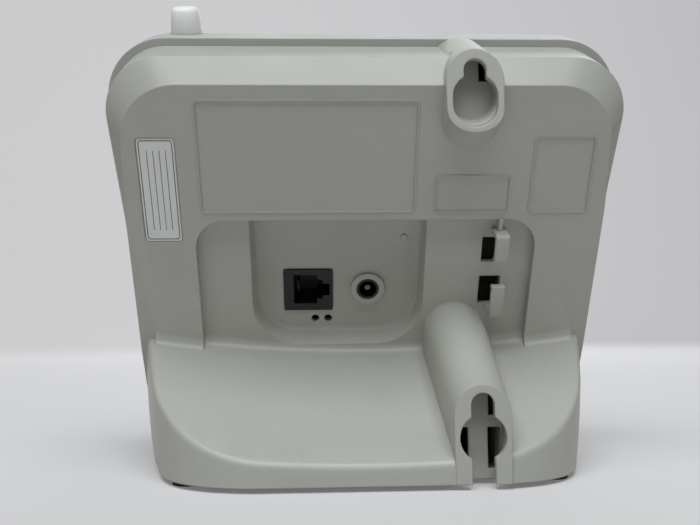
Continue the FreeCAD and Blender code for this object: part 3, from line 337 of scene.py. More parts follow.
def selectOnly(*pieces):
    bpy.ops.object.select_all(action="DESELECT")
    for piece in pieces:
        piece.select_set(True)
    bpy.context.view_layer.objects.active = pieces[0]


def rounded(corners, steps=8):
    # Outline through corners given as x, y and radius.
    points = []
    for i, (x, y, radius) in enumerate(corners):
        corner = Vector((x, y))
        if not radius:
            points.append((x, y))
            continue
        before = (Vector(corners[i - 1][:2]) - corner).normalized()
        after = (Vector(corners[(i + 1) % len(corners)][:2]) - corner).normalized()
        half = before.angle(after) / 2
        centre = corner + (before + after).normalized() * radius / math.sin(half)
        start = corner + before * radius / math.tan(half) - centre
        turn = (math.pi - 2 * half) * (1 if before.x * after.y < before.y * after.x else -1)
        for step in range(steps + 1):
            spot = centre + Matrix.Rotation(turn * step / steps, 2) @ start
            points.append((spot.x, spot.y))
    return points


def window(x, y, wide, tall, corner, steps=6):
    right, high = x + wide / 2, y + tall / 2
    left, low = x - wide / 2, y - tall / 2
    return rounded([(right, low, corner), (right, high, corner),
                    (left, high, corner), (left, low, corner)], steps)


def stadium(x, half, top, low, foot=0.999):
    # Bar with round ends; with no foot, its low end is cut square.
    return rounded([(x + half, low, half * foot), (x + half, top, half * 0.999),
                    (x - half, top, half * 0.999), (x - half, low, half * foot)], 10)


def arch(x, half, top, low):
    return stadium(x, half, top, low, 0)


def ringAt(outline, level):
    return [(x, y, level) for x, y in outline]


def lay(piece, where):
    # Turns a piece drawn in the leaning frame, or in the world, into place for good.
    piece.matrix_world = where @ piece.matrix_world
    selectOnly(piece)
    bpy.ops.object.transform_apply(location=True, rotation=True, scale=True)
    return piece


def skin(rings, where=leaning):
    # Closed skin through rings of as many points each.
    count = len(rings[0])
    bpy.ops.object.select_all(action="DESELECT")
    bpy.ops.mesh.primitive_grid_add(x_subdivisions=count, y_subdivisions=len(rings) - 1, size=1)
    piece = bpy.context.object
    for i, vertex in enumerate(piece.data.vertices):
        ring, spot = divmod(i, count + 1)
        vertex.co = Vector(rings[ring][spot % count]) * mm
    bpy.ops.object.mode_set(mode="EDIT")
    bpy.ops.mesh.select_all(action="SELECT")
    bpy.ops.mesh.remove_doubles(threshold=0.000002)
    bpy.ops.mesh.fill_holes(sides=0)
    bpy.ops.mesh.select_all(action="SELECT")
    bpy.ops.mesh.normals_make_consistent(inside=False)
    bpy.ops.object.mode_set(mode="OBJECT")
    return lay(piece, where)


def prism(outline, low, high, where=leaning):
    return skin([ringAt(outline, low), ringAt(outline, high)], where)


def block(low, high, where=leaning):
    outline = [(high[0], low[1]), (high[0], high[1]), (low[0], high[1]), (low[0], low[1])]
    return prism(outline, low[2], high[2], where)


def disc(x, y, radius, steps=24):
    turns = [2 * math.pi * i / steps for i in range(steps)]
    return [(x + radius * math.cos(turn), y + radius * math.sin(turn)) for turn in turns]


def combine(piece, operation, *tools):
    for tool in tools:
        selectOnly(piece)
        bpy.ops.object.modifier_add(type="BOOLEAN")
        change = piece.modifiers[-1]
        change.operation, change.object, change.solver = operation, tool, "EXACT"
        bpy.ops.object.modifier_apply(modifier=change.name)
        bpy.data.objects.remove(tool)
    return piece


# Rear housing.

rearLook = {
    # level: top, half width at the corners, corner radius, half width below the shoulder, shoulder
    "sections": {0: (139.2, 78.4, 18.4, 79.6, 98), 7.2: (146.8, 83.8, 18.6, 80.9, 76),
                 29.7: (146.8, 86.2, 18.6, 83.4, 76)},
    "low": -46, "wall": 2.4, "floor": 1.6, "wallPlane": 59.5,
    "footPlan": [(80.4, -20, 0), (77.8, 12, 0), (63, 59.3, 40)],  # half of it: x, y and corner radius
    "rim": (1.7, 2.6),  # radius of the foot's edge, behind and at the sides
    "shelf": {"half": 84, "side": (52.05, 44.2), "middle": (42.8, 38.6), "far": -71.6, "out": -76,
              "cove": 3.6, "coveRise": (5.0, 2.5)},
    "bay": (57.4, 94.8, 10.2, 3),  # half width, top, corner radius, depth
    "trayX": 9.6, "trayRound": 1.6,
    # level, half width, low end, corner radius
    "tray": [(2, 30.3, 45.5, 16.6), (8.4, 29.1, 47.8, 14.7), (10, 29.1, 47.8, 14.7)],
    # half width, end and level of each boss, where it leaves the slab and at its far end
    "lowerBoss": ((11.3, 62.6, 6), (8.1, 59.2, -63.4)),
    "upperBoss": ((10.1, 96.2, 29.6), (8.6, 128.7, -12.3)), "bossTop": 150, "bossSkin": 2.2, "bossGap": 10.7,
    # keyholes: middle, seats of the studs, half widths, and how far below its seat each opening ends
    "keyX": -32.2, "seats": (28.4, 130.0), "neck": 3.55, "head": 7, "neckEnd": 11.8, "headEnds": (4.8, 21.4),
    "lowHeadEnds": (6.2, 20.21),
    # beside each keyhole: distance from its middle, width, low end, height
    "slots": [(3, 3.9, 4.6, 12.6), (3.4, 2.6, 20.9, 7), (2.8, 3.6, 125.6, 8.6)],
    "hook": (-47.2, -42.6),
    "hooks": [[(91, 4.4, 0), (91, -5.8, 1.3), (81.5, -5.8, 0.3), (81.5, -3.4, 0), (82.6, -3.4, 0),
               (82.6, -4.3, 0), (89.5, -4.3, 0.5), (89.5, 4.4, 0)],
              [(60.1, 4.4, 0), (61.6, 4.4, 0), (61.6, -4.3, 0.5), (71.3, -4.3, 0), (71.3, -3.4, 0),
               (72.4, -3.4, 0), (72.4, -5.8, 0.3), (60.1, -5.8, 1.3)]],
    "hookRib": ((-45.6, 90, -1), (-44.2, 95.4, 4.5)),
    "hookRooms": [((-47.4, 78, 0), (-40, 87.3, 9)), ((-47.4, 61.6, 0), (-40, 72.6, 9))],
    # left, low, wide, tall
    "plates": [(-15.2, 98.1, 69.5, 36.1), (-46.5, 97.9, 24, 11.8), (-73, 97.8, 18.8, 25.2)],
    "label": (67.7, 105.1, 12.4, 35.4, 1.6), "lineJack": (20.2, 64.4, 17.6, 16.5, 1.35, 4),
    "powerJack": {"at": (-1.2, 64.9), "collar": 6.15, "mouth": 4.15, "throat": 3.2},
    "pinholes": [(17.8, 52.6, 1.45, 16), (13.1, 52.6, 1.45, 16)], "pip": (-13.7, 84.6, 1.25, 16),
    "posts": [(2.5, 130, 2), (72, 130, 2), (72, 52, 2), (2.5, 103, 2)],  # x, y and first level
}


def slabRing(section, inset=0.0, level=0.0):
    top, half, corner, side, shoulder = section
    top, half, side, corner = top - inset, half - inset, side - inset, corner - inset
    reach = half + (half - side) / (top - corner - shoulder) * corner
    low = rearLook["low"]
    return ringAt(rounded([(side, low, 0), (side, shoulder, 0), (reach, top, corner), (-reach, top, corner),
                           (-side, shoulder, 0), (-side, low, 0)], 12), level)


def shelfArc(x, level, rise=0.0):
    # Height of the dished shelf, lowest in the middle; in the cove it climbs by the share given.
    look = rearLook["shelf"]
    part = level / look["far"]
    side, middle = (near + (out - near) * part + up * rise
                    for (near, out), up in zip((look["side"], look["middle"]), look["coveRise"]))
    radius = (look["half"] ** 2 + (side - middle) ** 2) / (2 * (side - middle))
    return middle + radius - math.sqrt(radius * radius - x * x)


def shelfRing(level, rise):
    half, steps, above = rearLook["shelf"]["half"], 40, 160
    across = [half * (2 * i / steps - 1) for i in range(steps + 1)]
    arc = [(x, shelfArc(x, level, rise), level) for x in across]
    return arc + [(half, above, level), (-half, above, level)]


def shelfTop(x, y):
    # World height of the shelf over a point of the floor.
    look = rearLook["shelf"]
    near, far = shelfArc(x, -look["cove"]), shelfArc(x, look["out"])
    level = 0.0
    for turn in range(8):
        height = near + (far - near) * (level + look["cove"]) / (look["out"] + look["cove"])
        level = (height * math.sin(tilt) - setBack - y) / math.cos(tilt)
    return min(height * math.cos(tilt) + level * math.sin(tilt), 60)


def inward(outline, place):
    # Direction from one point of an outline into it, long enough to keep the sides' distance.
    here, before, after = (Vector(outline[i % len(outline)]) for i in (place, place - 1, place + 1))
    sides = [Vector((side.y, -side.x)).normalized() for side in (before - here, here - after)]
    way = (sides[0] + sides[1]).normalized()
    return way / max(way.dot(sides[0]), 0.3)


def makeFoot():
    # Foot whose rim is rounded all round and follows the shelf.
    plan = rearLook["footPlan"]
    corners = rounded(plan + [(-x, y, r) for x, y, r in reversed(plan)], 16)
    outline = []
    for start, end in zip(corners, corners[1:]):
        parts = math.ceil(math.dist(start, end) / 5)  # pieces of 5 mm at most, so that the shelf's dish shows
        outline += [tuple(Vector(start).lerp(Vector(end), i / parts)) for i in range(parts)]
    outline.append(corners[-1])
    ways = [inward(outline, i) for i in range(len(outline))]
    if (Vector(outline[0]) + ways[0]).length > Vector(outline[0]).length:
        ways = [-way for way in ways]
    least, most = rearLook["rim"]
    raised = 0.12  # clear of the shelf's own surface, so that both cross cleanly
    rings = [[(x, y, rearLook["floor"] - 1) for x, y in outline]]
    for step in range(7):
        angle = math.pi / 12 * step
        ring = []
        for (x, y), way in zip(outline, ways):
            radius = least + (most - least) * min(max((42 - y) / 30, 0), 1)
            spot = Vector((x, y)) + way * radius * (1 - math.cos(angle))
            down = radius * (1 - math.sin(angle))
            ring.append((spot.x, spot.y, shelfTop(spot.x, spot.y) - down + raised))
        rings.append(ring)
    rings.append([(x, y, 62) for x, y, z in rings[-1]])
    return skin(rings, worldFrame)


def shelfRoom(front, far, behind):
    # The cove climbs to the given front level; the room goes on a little behind it.
    cove = rearLook["shelf"]["cove"]
    rings = [shelfRing(level, rise) for level, rise in far]
    for step in range(9):
        angle = math.pi / 2 * step / 8
        rings.append(shelfRing(front - cove + cove * math.sin(angle), 1 - math.cos(angle)))
    return skin(rings + [shelfRing(level, rise) for level, rise in behind])


def trayRoom(grow=0.0):
    # Room for both sockets, with a soft corner round its floor.
    *rows, (deepest, half, low, corner) = rearLook["tray"]
    soft = rearLook["trayRound"]
    for step in range(1, 6):
        angle = math.pi / 2 * step / 5
        pull = soft - soft * math.cos(angle)
        rows.append((deepest - soft + soft * math.sin(angle), half - pull, low + pull, corner - pull))
    x, top = rearLook["trayX"], rearLook["bay"][1] - 0.01 + grow
    rings = []
    for level, half, low, corner in rows:
        reach, low, corner = half + grow, low - grow, corner + grow
        rings.append(ringAt(rounded([(x + reach, low, corner), (x + reach, top, 0), (x - reach, top, 0),
                                     (x - reach, low, corner)], 10), level + grow))
    return skin(rings)


def lowerBoss(inset=0.0, gap=0.0):
    x, low, back = rearLook["keyX"], rearLook["low"], rearLook["wallPlane"] - gap
    floor = rearLook["floor"] + (2.4 if inset else -1.5)
    (nearHalf, nearTop, nearLevel), (farHalf, farTop, farLevel) = rearLook["lowerBoss"]
    boss = skin([ringAt(arch(x, nearHalf - inset, nearTop - inset, low), nearLevel + inset * 2.5),
                 ringAt(arch(x, farHalf - inset, farTop - inset, low), farLevel)])
    return combine(boss, "DIFFERENCE", block((-60, back, -40), (0, 120, 160), worldFrame),
                   block((-60, -60, -90), (0, 120, floor), worldFrame))


def upperBoss(inset=0.0, gap=0.0):
    x, top, back = rearLook["keyX"], rearLook["bossTop"] - inset, rearLook["wallPlane"] - gap
    (nearHalf, nearLow, nearLevel), (farHalf, farLow, farLevel) = rearLook["upperBoss"]
    boss = skin([ringAt(stadium(x, nearHalf - inset, top, nearLow + inset), nearLevel + inset),
                 ringAt(stadium(x, farHalf - inset, top, farLow + inset), farLevel)])
    return combine(boss, "DIFFERENCE", block((-60, back, 60), (0, 120, 190), worldFrame))


def pocketRoom(top, low):
    # Room for a stud's head behind the plate with the keyhole.
    room = prism(stadium(rearLook["keyX"], 7.1, top, low), -75, 25)
    return combine(room, "INTERSECT", block((-60, 51, -10), (0, 57.1, 190), worldFrame))


def keyholeCut(outline):
    # Opening through a plate, drawn in the plane of the wall.
    return skin([[(x, y, z) for x, z in outline] for y in (56.5, 60.5)], worldFrame)


def hookShape(points):
    left, right = rearLook["hook"]
    return skin([[(x, y, z) for y, z in rounded(points, 4)] for x in (left, right)])


def plateOutline(plate, grow):
    left, low, wide, tall = plate
    return window(left + wide / 2, low + tall / 2, wide + 2 * grow, tall + 2 * grow, 1 + grow, 4)


def makeOuterForm():
    # Slab, foot and bosses as one body, with the cable bay and the socket bay sunk into it.
    look = rearLook
    sections, cove = look["sections"], look["shelf"]["cove"]
    body = skin([slabRing(sections[level], 0, level) for level in sections])
    foot = combine(makeFoot(), "DIFFERENCE", block((-100, -60, 8.2), (100, 200, 80)),
                   shelfRoom(0.07, [(look["shelf"]["out"], 0)], [(0.5, 3)]))
    combine(body, "UNION", foot, lowerBoss(), upperBoss())
    half, top, corner, deep = look["bay"]
    opening = rounded([(half, 25, 0), (half, top, corner), (-half, top, corner), (-half, 25, 0)], 8)
    bay = prism(opening, -12, deep + 1)
    combine(bay, "INTERSECT", shelfRoom(deep, [(-cove - 0.6, 0.02), (-cove + 0.2, 0)], []))
    combine(bay, "DIFFERENCE", lowerBoss(), upperBoss())
    return combine(body, "DIFFERENCE", bay, trayRoom())


def addRaised(body):
    # Cable hooks with their rib, the socket's collar, the pip and the outlines of the shallow plates.
    look, jack = rearLook, rearLook["powerJack"]
    raised = [hookShape(points) for points in look["hooks"]]
    raised += [block(*look["hookRib"]), prism(disc(*jack["at"], jack["collar"], 32), 8.6, 11),
               prism(disc(*look["pip"]), 9.55, 11)]
    raised += [prism(plateOutline(plate, 0.7), -0.25, 0.5) for plate in look["plates"]]
    combine(body, "UNION", *raised)


def hollowOut(body):
    # Room behind the walls, which leaves a skin round the bays and bosses.
    look = rearLook
    half, top, corner, deep = look["bay"]
    wall, thin, gap = look["wall"], look["bossSkin"], look["bossGap"]
    levels = (wall, 8.16, 31)
    hollow = skin([slabRing(section, wall, level) for section, level in zip(look["sections"].values(), levels)])
    reach, above = half + wall, top + wall
    inner = rounded([(reach, 0, 0), (reach, above, corner), (-reach, above, corner), (-reach, 0, 0)], 8)
    combine(hollow, "DIFFERENCE", block((-100, -90, -90), (100, 80, 4), worldFrame),
            prism(inner, -5, deep + wall), trayRoom(wall), upperBoss())
    combine(body, "DIFFERENCE", block((-100, -90, -90), (100, 100, look["floor"]), worldFrame), hollow,
            lowerBoss(thin, gap), upperBoss(thin, gap))


def keyholeCuts():
    # Keyholes with the rooms behind their plates, and slots in the skin beside them.
    look = rearLook
    (low, high), x, neck, head = look["seats"], look["keyX"], look["neck"], look["head"]
    (start, end), (lowStart, lowEnd) = look["headEnds"], look["lowHeadEnds"]
    reach = look["wallPlane"] + setBack
    along = [reach * math.sin(tilt) + seat * math.cos(tilt) for seat in (low, high, high - end)]
    cuts = [pocketRoom(along[0] + 0.5, look["low"]), pocketRoom(along[1] + 0.5, along[2])]
    openings = [(neck, high, high - look["neckEnd"]), (head, high - start, high - end),
                (neck, low, -10), (head, low - lowStart, low - lowEnd)]
    cuts += [keyholeCut(stadium(x, *opening)) for opening in openings]
    for near, wide, start, tall in look["slots"]:
        cuts += [block((left, 45, start), (left + wide, 53, start + tall), worldFrame)
                 for left in (x - near - wide, x + near)]
    return cuts


def bayCuts():
    # Hook slots, the sticker's recess, both sockets' openings, two pinholes and the shallow plates.
    look, jack = rearLook, rearLook["powerJack"]
    cuts = [block(*room) for room in look["hookRooms"]]
    cuts += [prism(window(*look["label"]), -1, 0.5), prism(window(*look["lineJack"]), 9, 14)]
    cuts += [prism(disc(*spot), 9, 14) for spot in look["pinholes"]]
    cuts.append(skin([ringAt(disc(*jack["at"], jack[part]), level)
                      for part, level in (("mouth", 8.5), ("throat", 11.6), ("throat", 14))]))
    return cuts + [prism(plateOutline(plate, 0), -1, 0.2) for plate in look["plates"]]


def makeRearHousing():
    body = makeOuterForm()
    print("  body, foot and bays")
    addRaised(body)
    hollowOut(body)
    combine(body, "DIFFERENCE", *keyholeCuts(), *bayCuts())
    posts = [prism(disc(x, y, 3.2, 16), start + 1, 25) for x, y, start in rearLook["posts"]]
    return combine(body, "UNION", *posts)


# The sides draw in towards the floor: over this height, by this share, from one x to the other.
footLook = {"height": 40.0, "share": 0.045, "from": 58.0, "to": 72.0, "cuts": (5, 11, 18, 28, 40),
            "screws": (76, -35), "screwColumn": 4.1, "screwSeat": 3.4, "screwHole": 1.7,
            "pads": ((60, -32.5), (57.3, 42.1)), "padSeat": 5.1}


def narrowFoot(body):
    look = footLook
    selectOnly(body)
    bpy.ops.object.mode_set(mode="EDIT")
    for height in look["cuts"]:
        bpy.ops.mesh.select_all(action="SELECT")
        bpy.ops.mesh.bisect(plane_co=(0, 0, height * mm), plane_no=(0, 0, 1))
    bpy.ops.mesh.select_all(action="SELECT")
    bpy.ops.mesh.remove_doubles(threshold=0.00002)
    bpy.ops.object.mode_set(mode="OBJECT")
    for vertex in body.data.vertices:
        out = min(max((abs(vertex.co.x) / mm - look["from"]) / (look["to"] - look["from"]), 0), 1)
        vertex.co.x *= 1 - look["share"] * out * max(1 - vertex.co.z / mm / look["height"], 0) ** 2
    return body


def drillFloor(body):
    # Sunk screw holes under the sides and shallow seats for the rubber feet.
    look = footLook
    screws = [(side * look["screws"][0], look["screws"][1]) for side in (-1, 1)]
    pads = [(side * x, y) for side in (-1, 1) for x, y in look["pads"]]
    combine(body, "UNION", *[prism(disc(*spot, look["screwColumn"]), 3.2, 6, worldFrame) for spot in screws])
    cuts = [prism(disc(*spot, look["screwSeat"]), 0, 4, worldFrame) for spot in screws]
    cuts += [prism(disc(*spot, look["screwHole"]), 3, 8, worldFrame) for spot in screws]
    cuts += [prism(disc(*spot, look["padSeat"], 32), 0, 2.2, worldFrame) for spot in pads]
    return combine(body, "DIFFERENCE", *cuts)


rearBody = drillFloor(narrowFoot(makeRearHousing()))
rearBody.name = rearBody.data.name = "rearHousingShell"
bpy.ops.object.shade_smooth_by_angle(angle=smoothAngle)
rearBody.data.materials.append(housingPlastic.material)
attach(rearBody, "root")
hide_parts("rear_housing")
print("rear housing", len(rearBody.data.polygons))


# Front housing and antenna.

# The rim of the front stands out round the corners and draws in below the shoulders. It moves in full down to
# the first depth from the outside, and no longer at the second.
rimLook = {"was": {"half": 86.9, "top": 149.3, "corner": 27.0}, "half": 88.7, "corner": 21.0, "side": 85.9,
           "shoulder": 77.0, "deep": (8.5, 14.0), "kept": 70.0}


def rimPlace(x, y):
    # Where a point of the plain outline goes on the shouldered one.
    was, look = rimLook["was"], rimLook
    middleX, middleY = was["half"] - was["corner"], was["top"] - was["corner"]
    newX, newY = look["half"] - look["corner"], was["top"] - look["corner"]
    lean = math.atan((look["half"] - look["side"]) / (newY - look["shoulder"]))
    turned = look["corner"] * (1 - math.cos(lean))
    endY = newY - look["corner"] * math.sin(lean)
    if x > middleX and y > middleY:
        angle, reach = math.atan2(y - middleY, x - middleX), math.hypot(x - middleX, y - middleY)
        deep = max(was["corner"] - reach, 0)
        along = middleX + was["corner"] * math.cos(angle)
        if along < newX:
            return along, was["top"] - deep, deep
        hold = math.acos((look["kept"] - middleX) / was["corner"])
        end = math.acos((look["kept"] - newX) / look["corner"])
        if angle > hold:
            angle = math.acos((along - newX) / look["corner"])
        else:
            angle = -lean + angle / hold * (end + lean)
        reach = look["corner"] - deep
        return newX + reach * math.cos(angle), newY + reach * math.sin(angle), deep
    if y > middleY:
        deep = max(was["top"] - y, 0)
        if was["half"] - x > deep:
            return x, was["top"] - deep, deep
    deep = was["half"] - x
    if y < look["shoulder"]:
        return look["side"] - deep, y, deep
    part = (y - look["shoulder"]) / (middleY - look["shoulder"])
    edge = look["side"] + (look["half"] - turned - look["side"]) * part
    return edge - deep, look["shoulder"] + (endY - look["shoulder"]) * part, deep


def makeFrontHousing():
    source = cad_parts["front_housing"]
    selectOnly(source)
    bpy.ops.object.duplicate()
    body = bpy.context.object
    body.parent = None
    body.matrix_world = leaning.inverted() @ source.matrix_world
    bpy.ops.object.transform_apply(location=True, rotation=True, scale=True)
    bpy.ops.mesh.customdata_custom_splitnormals_clear()
    bpy.ops.object.mode_set(mode="EDIT")
    bpy.ops.mesh.select_all(action="SELECT")
    bpy.ops.mesh.remove_doubles(threshold=0.000003)
    for step in (-6, 0, 6):  # loops that let the wall bend at the shoulder
        bpy.ops.mesh.select_all(action="SELECT")
        bpy.ops.mesh.bisect(plane_co=(0, (rimLook["shoulder"] + step) * mm, 0), plane_no=(0, 1, 0))
    bpy.ops.object.mode_set(mode="OBJECT")
    whole, none = rimLook["deep"]
    for vertex in body.data.vertices:
        x, y = vertex.co.x / mm, vertex.co.y / mm
        newX, newY, deep = rimPlace(abs(x), y)
        share = min(max((none - deep) / (none - whole), 0), 1)
        vertex.co.x = (x + (math.copysign(newX, x) - x) * share) * mm
        vertex.co.y = (y + (newY - y) * share) * mm
    return lay(body, leaning)


# Round stub on the top edge, through radius and height.
stubLook = {"at": (62.3, 149.3, 43), "steps": 48,
            "profile": [(5.4, -1.5), (5.4, 0.4), (5.3, 2), (5.1, 4.4), (4.8, 7.2), (4.5, 8.0),
                        (4.0, 8.6), (3.2, 8.9), (1.6, 9), (0, 9)]}


def makeStub():
    x, y, level = stubLook["at"]
    return skin([[(px, y + height, pz) for px, pz in disc(x, level, radius, stubLook["steps"])]
                 for radius, height in stubLook["profile"]])


frontBody = narrowFoot(makeFrontHousing())
frontBody.name = frontBody.data.name = "frontHousingShell"
selectOnly(frontBody)
bpy.ops.object.shade_smooth_by_angle(angle=smoothAngle)
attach(frontBody, "root")
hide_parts("front_housing")
antennaBody = makeStub()
antennaBody.name = antennaBody.data.name = "antennaStub"
selectOnly(antennaBody)
bpy.ops.object.shade_smooth_by_angle(angle=math.radians(40))
antennaBody.data.materials.append(antennaPlastic.material)
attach(antennaBody, "root")
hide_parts("antenna_cap")
print("front housing and antenna")


# Printed details.

def flatBar(wide, tall, corner=0.0, at=(0, 0), turn=0.0, cuts=5):
    # Flat bar with cut or rounded corners, in millimetres.
    bpy.ops.object.select_all(action="DESELECT")
    bpy.ops.mesh.primitive_plane_add(size=1)
    bar = bpy.context.object
    bpy.ops.object.mode_set(mode="EDIT")
    bpy.ops.mesh.select_all(action="SELECT")
    bpy.ops.transform.resize(value=(wide * mm, tall * mm, 1))
    if corner:
        bpy.ops.mesh.bevel(offset=corner * mm, segments=cuts, affect="VERTICES")
        bpy.ops.mesh.select_all(action="SELECT")
        bpy.ops.mesh.remove_doubles(threshold=0.000002)
    bpy.ops.object.mode_set(mode="OBJECT")
    bar.matrix_world = Matrix.Translation((at[0] * mm, at[1] * mm, 0)) @ Matrix.Rotation(turn, 4, "Z")
    return bar


def flatDisc(radius, sides, at=(0, 0), turn=0.0):
    # Filled round, or a triangle when it has three sides.
    bpy.ops.object.select_all(action="DESELECT")
    bpy.ops.mesh.primitive_circle_add(vertices=sides, radius=radius * mm, fill_type="NGON")
    coin = bpy.context.object
    coin.matrix_world = Matrix.Translation((at[0] * mm, at[1] * mm, 0)) @ Matrix.Rotation(turn, 4, "Z")
    return coin


def flatArc(radius, width, halfSweep, towards, at=(0, 0)):
    # Strip along part of a circle, centred on the direction given.
    bpy.ops.object.select_all(action="DESELECT")
    bpy.ops.mesh.primitive_circle_add(vertices=72, radius=radius * mm)
    arc = bpy.context.object
    bpy.ops.object.mode_set(mode="EDIT")
    bpy.ops.mesh.select_mode(type="VERT")
    bpy.ops.mesh.select_all(action="DESELECT")
    bpy.ops.object.mode_set(mode="OBJECT")
    for vertex in arc.data.vertices:
        away = math.atan2(vertex.co.y, vertex.co.x) - towards
        vertex.select = abs(math.remainder(away, 2 * math.pi)) > halfSweep
    bpy.ops.object.mode_set(mode="EDIT")
    bpy.ops.mesh.delete(type="VERT")
    bpy.ops.mesh.select_all(action="SELECT")
    bpy.ops.mesh.extrude_edges_move()
    bpy.ops.transform.resize(value=((radius - width) / radius,) * 3, center_override=(0, 0, 0))
    bpy.ops.object.mode_set(mode="OBJECT")
    arc.matrix_world = Matrix.Translation((at[0] * mm, at[1] * mm, 0))
    return arc


def frameLine(wide, tall, corner, line):
    # Closed outline with rounded corners.
    outline = flatBar(wide, tall, corner)
    bpy.ops.object.mode_set(mode="EDIT")
    bpy.ops.mesh.select_all(action="SELECT")
    bpy.ops.mesh.inset(thickness=line * mm)
    bpy.ops.mesh.delete(type="FACE")
    bpy.ops.object.mode_set(mode="OBJECT")
    return outline


def settle(shapes, name, place, depth, finish, body="root", back=False):
    # Joins flat shapes, thickens them and lays them on the leaning body at x, y and level in millimetres.
    selectOnly(*shapes)
    if len(shapes) > 1:
        bpy.ops.object.join()
    piece = bpy.context.object
    piece.name = piece.data.name = name
    bpy.ops.object.transform_apply(location=True, rotation=True, scale=True)
    bpy.ops.object.mode_set(mode="EDIT")
    bpy.ops.mesh.select_mode(type="FACE")
    bpy.ops.mesh.select_all(action="SELECT")
    bpy.ops.mesh.normals_make_consistent(inside=False)
    bpy.ops.mesh.extrude_region_move(TRANSFORM_OT_translate={"value": (0, 0, depth * mm)})
    bpy.ops.mesh.select_all(action="SELECT")
    bpy.ops.mesh.normals_make_consistent(inside=False)
    bpy.ops.object.mode_set(mode="OBJECT")
    turn = Matrix.Rotation(math.pi if back else 0, 4, "Y")
    piece.matrix_world = leaning @ Matrix.Translation(Vector(place) * mm) @ turn
    bpy.ops.object.transform_apply(location=True, rotation=True, scale=True)
    piece.data.materials.append(finish.material)
    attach(piece, body)
    return piece


# Sticker print: a thin outline and plain rules, with nothing written.
labelLook = {"place": (67.7, 105.1, 0.2), "outline": (10.7, 33.6, 1.0, 0.22), "rules": (-2.9, -0.9, 1.1, 3.1)}
settle([frameLine(*labelLook["outline"])] + [flatBar(0.16, 27, at=(x, 0)) for x in labelLook["rules"]],
       "labelPrint", labelLook["place"], 0.03, darkInk, back=True)

# Signs on the key caps: where each key is, and its strokes about its middle.
home, quarter, eighth = (0, 0), math.pi / 2, math.pi / 4
keySigns = {
    "play_stop": ((40, 84), [("disc", 3.0, 3, (-2.6, 0), -quarter), ("bar", 4.4, 4.4, 0.3, (4.3, 0))]),
    "repeat": ((18, 84), [("disc", 1.7, 3, (-1.5, 0), quarter), ("disc", 1.7, 3, (1.2, 0), quarter)]),
    "skip": ((62, 84), [("disc", 1.7, 3, (1.5, 0), -quarter), ("disc", 1.7, 3, (-1.2, 0), -quarter)]),
    "volume_down": ((20, 61.5), [("bar", 4.0, 0.9, 0.2, home)]),
    "delete": ((40, 61.5), [("bar", 4.6, 0.85, 0.2, home, eighth), ("bar", 4.6, 0.85, 0.2, home, -eighth)]),
    "volume_up": ((60, 61.5), [("bar", 4.0, 0.9, 0.2, home), ("bar", 0.9, 4.0, 0.2, home)]),
    "answer": ((27, 47.5), [("arc", 2.1, 0.6, 2.5, -quarter, (0, -0.2)), ("bar", 0.65, 2.3, 0.2, (0, 1.3))]),
    "find_handset": ((53, 47.5), [("disc", 0.7, 20, (-2.6, 0), 0)] + [
        ("arc", radius, 0.55, sweep, 0, (-2.6, 0)) for radius, sweep in ((2.2, 0.9), (3.8, 0.8), (5.4, 0.7))]),
}
strokes = {"disc": flatDisc, "bar": flatBar, "arc": flatArc}
for key, (spot, signs) in keySigns.items():
    settle([strokes[sign[0]](*sign[1:]) for sign in signs], key + "_sign", (*spot, 52.0), 0.05, whiteInk,
           key + "_key")

# Two number places behind the lens, showing 03; the lit segments have their glow painted in as a bright red
# colour, with no light of their own.
digitLook = {"at": (40, 112, 46.6), "places": {"left": -4.2, "right": 4.2}, "wide": 4.6, "tall": 4.4,
             "line": 0.85, "lit": {"left": "abcdef", "right": "abcdg"}}


def segments(letters, middle):
    # Seven pointed bars: a on top, then clockwise to f, and g across the middle.
    wide, tall, line = (digitLook[part] for part in ("wide", "tall", "line"))
    rows = {"a": (0, tall, 0), "b": (wide / 2, tall / 2, 1), "c": (wide / 2, -tall / 2, 1), "d": (0, -tall, 0),
            "e": (-wide / 2, -tall / 2, 1), "f": (-wide / 2, tall / 2, 1), "g": (0, 0, 0)}
    bars = []
    for x, y, upright in (rows[letter] for letter in letters):
        length = (tall if upright else wide) - 0.3
        bars.append(flatBar(length, line, line / 2 - 0.02, (middle + x, y), upright * math.pi / 2, 1))
    return bars


glowPaintedBars, dull = [], []
for side, middle in digitLook["places"].items():
    glowPaintedBars += segments(digitLook["lit"][side], middle)
    dull += segments([letter for letter in "abcdefg" if letter not in digitLook["lit"][side]], middle)
# Segments that show the number carry the painted glow; the rest are their own dull colour.
settle(glowPaintedBars, "digitsPaintedGlow", digitLook["at"], 0.05, paintedGlowSegment)
settle(dull, "digitsDull", digitLook["at"], 0.05, dullSegment)
print("print, signs and numbers")


# Studio.

# The floor's glow colours are painted light: paler on the left of the view, darker on the right.
studio = {"floorColour": tone(202, 202, 202), "glowLeft": tone(176, 176, 179), "glowRight": tone(162, 162, 166),
          "room": (0.118, 0.117, 0.092, 1.0), "roomSeen": tone(206, 206, 208),
          "near": 1.3, "reach": 1.12, "sweep": 0.35, "height": 1.6, "half": 1.6,
          "glowFar": (0.45, -0.75), "glowNear": (0.5, 1.2), "glowAcross": (-0.9, 0.9)}


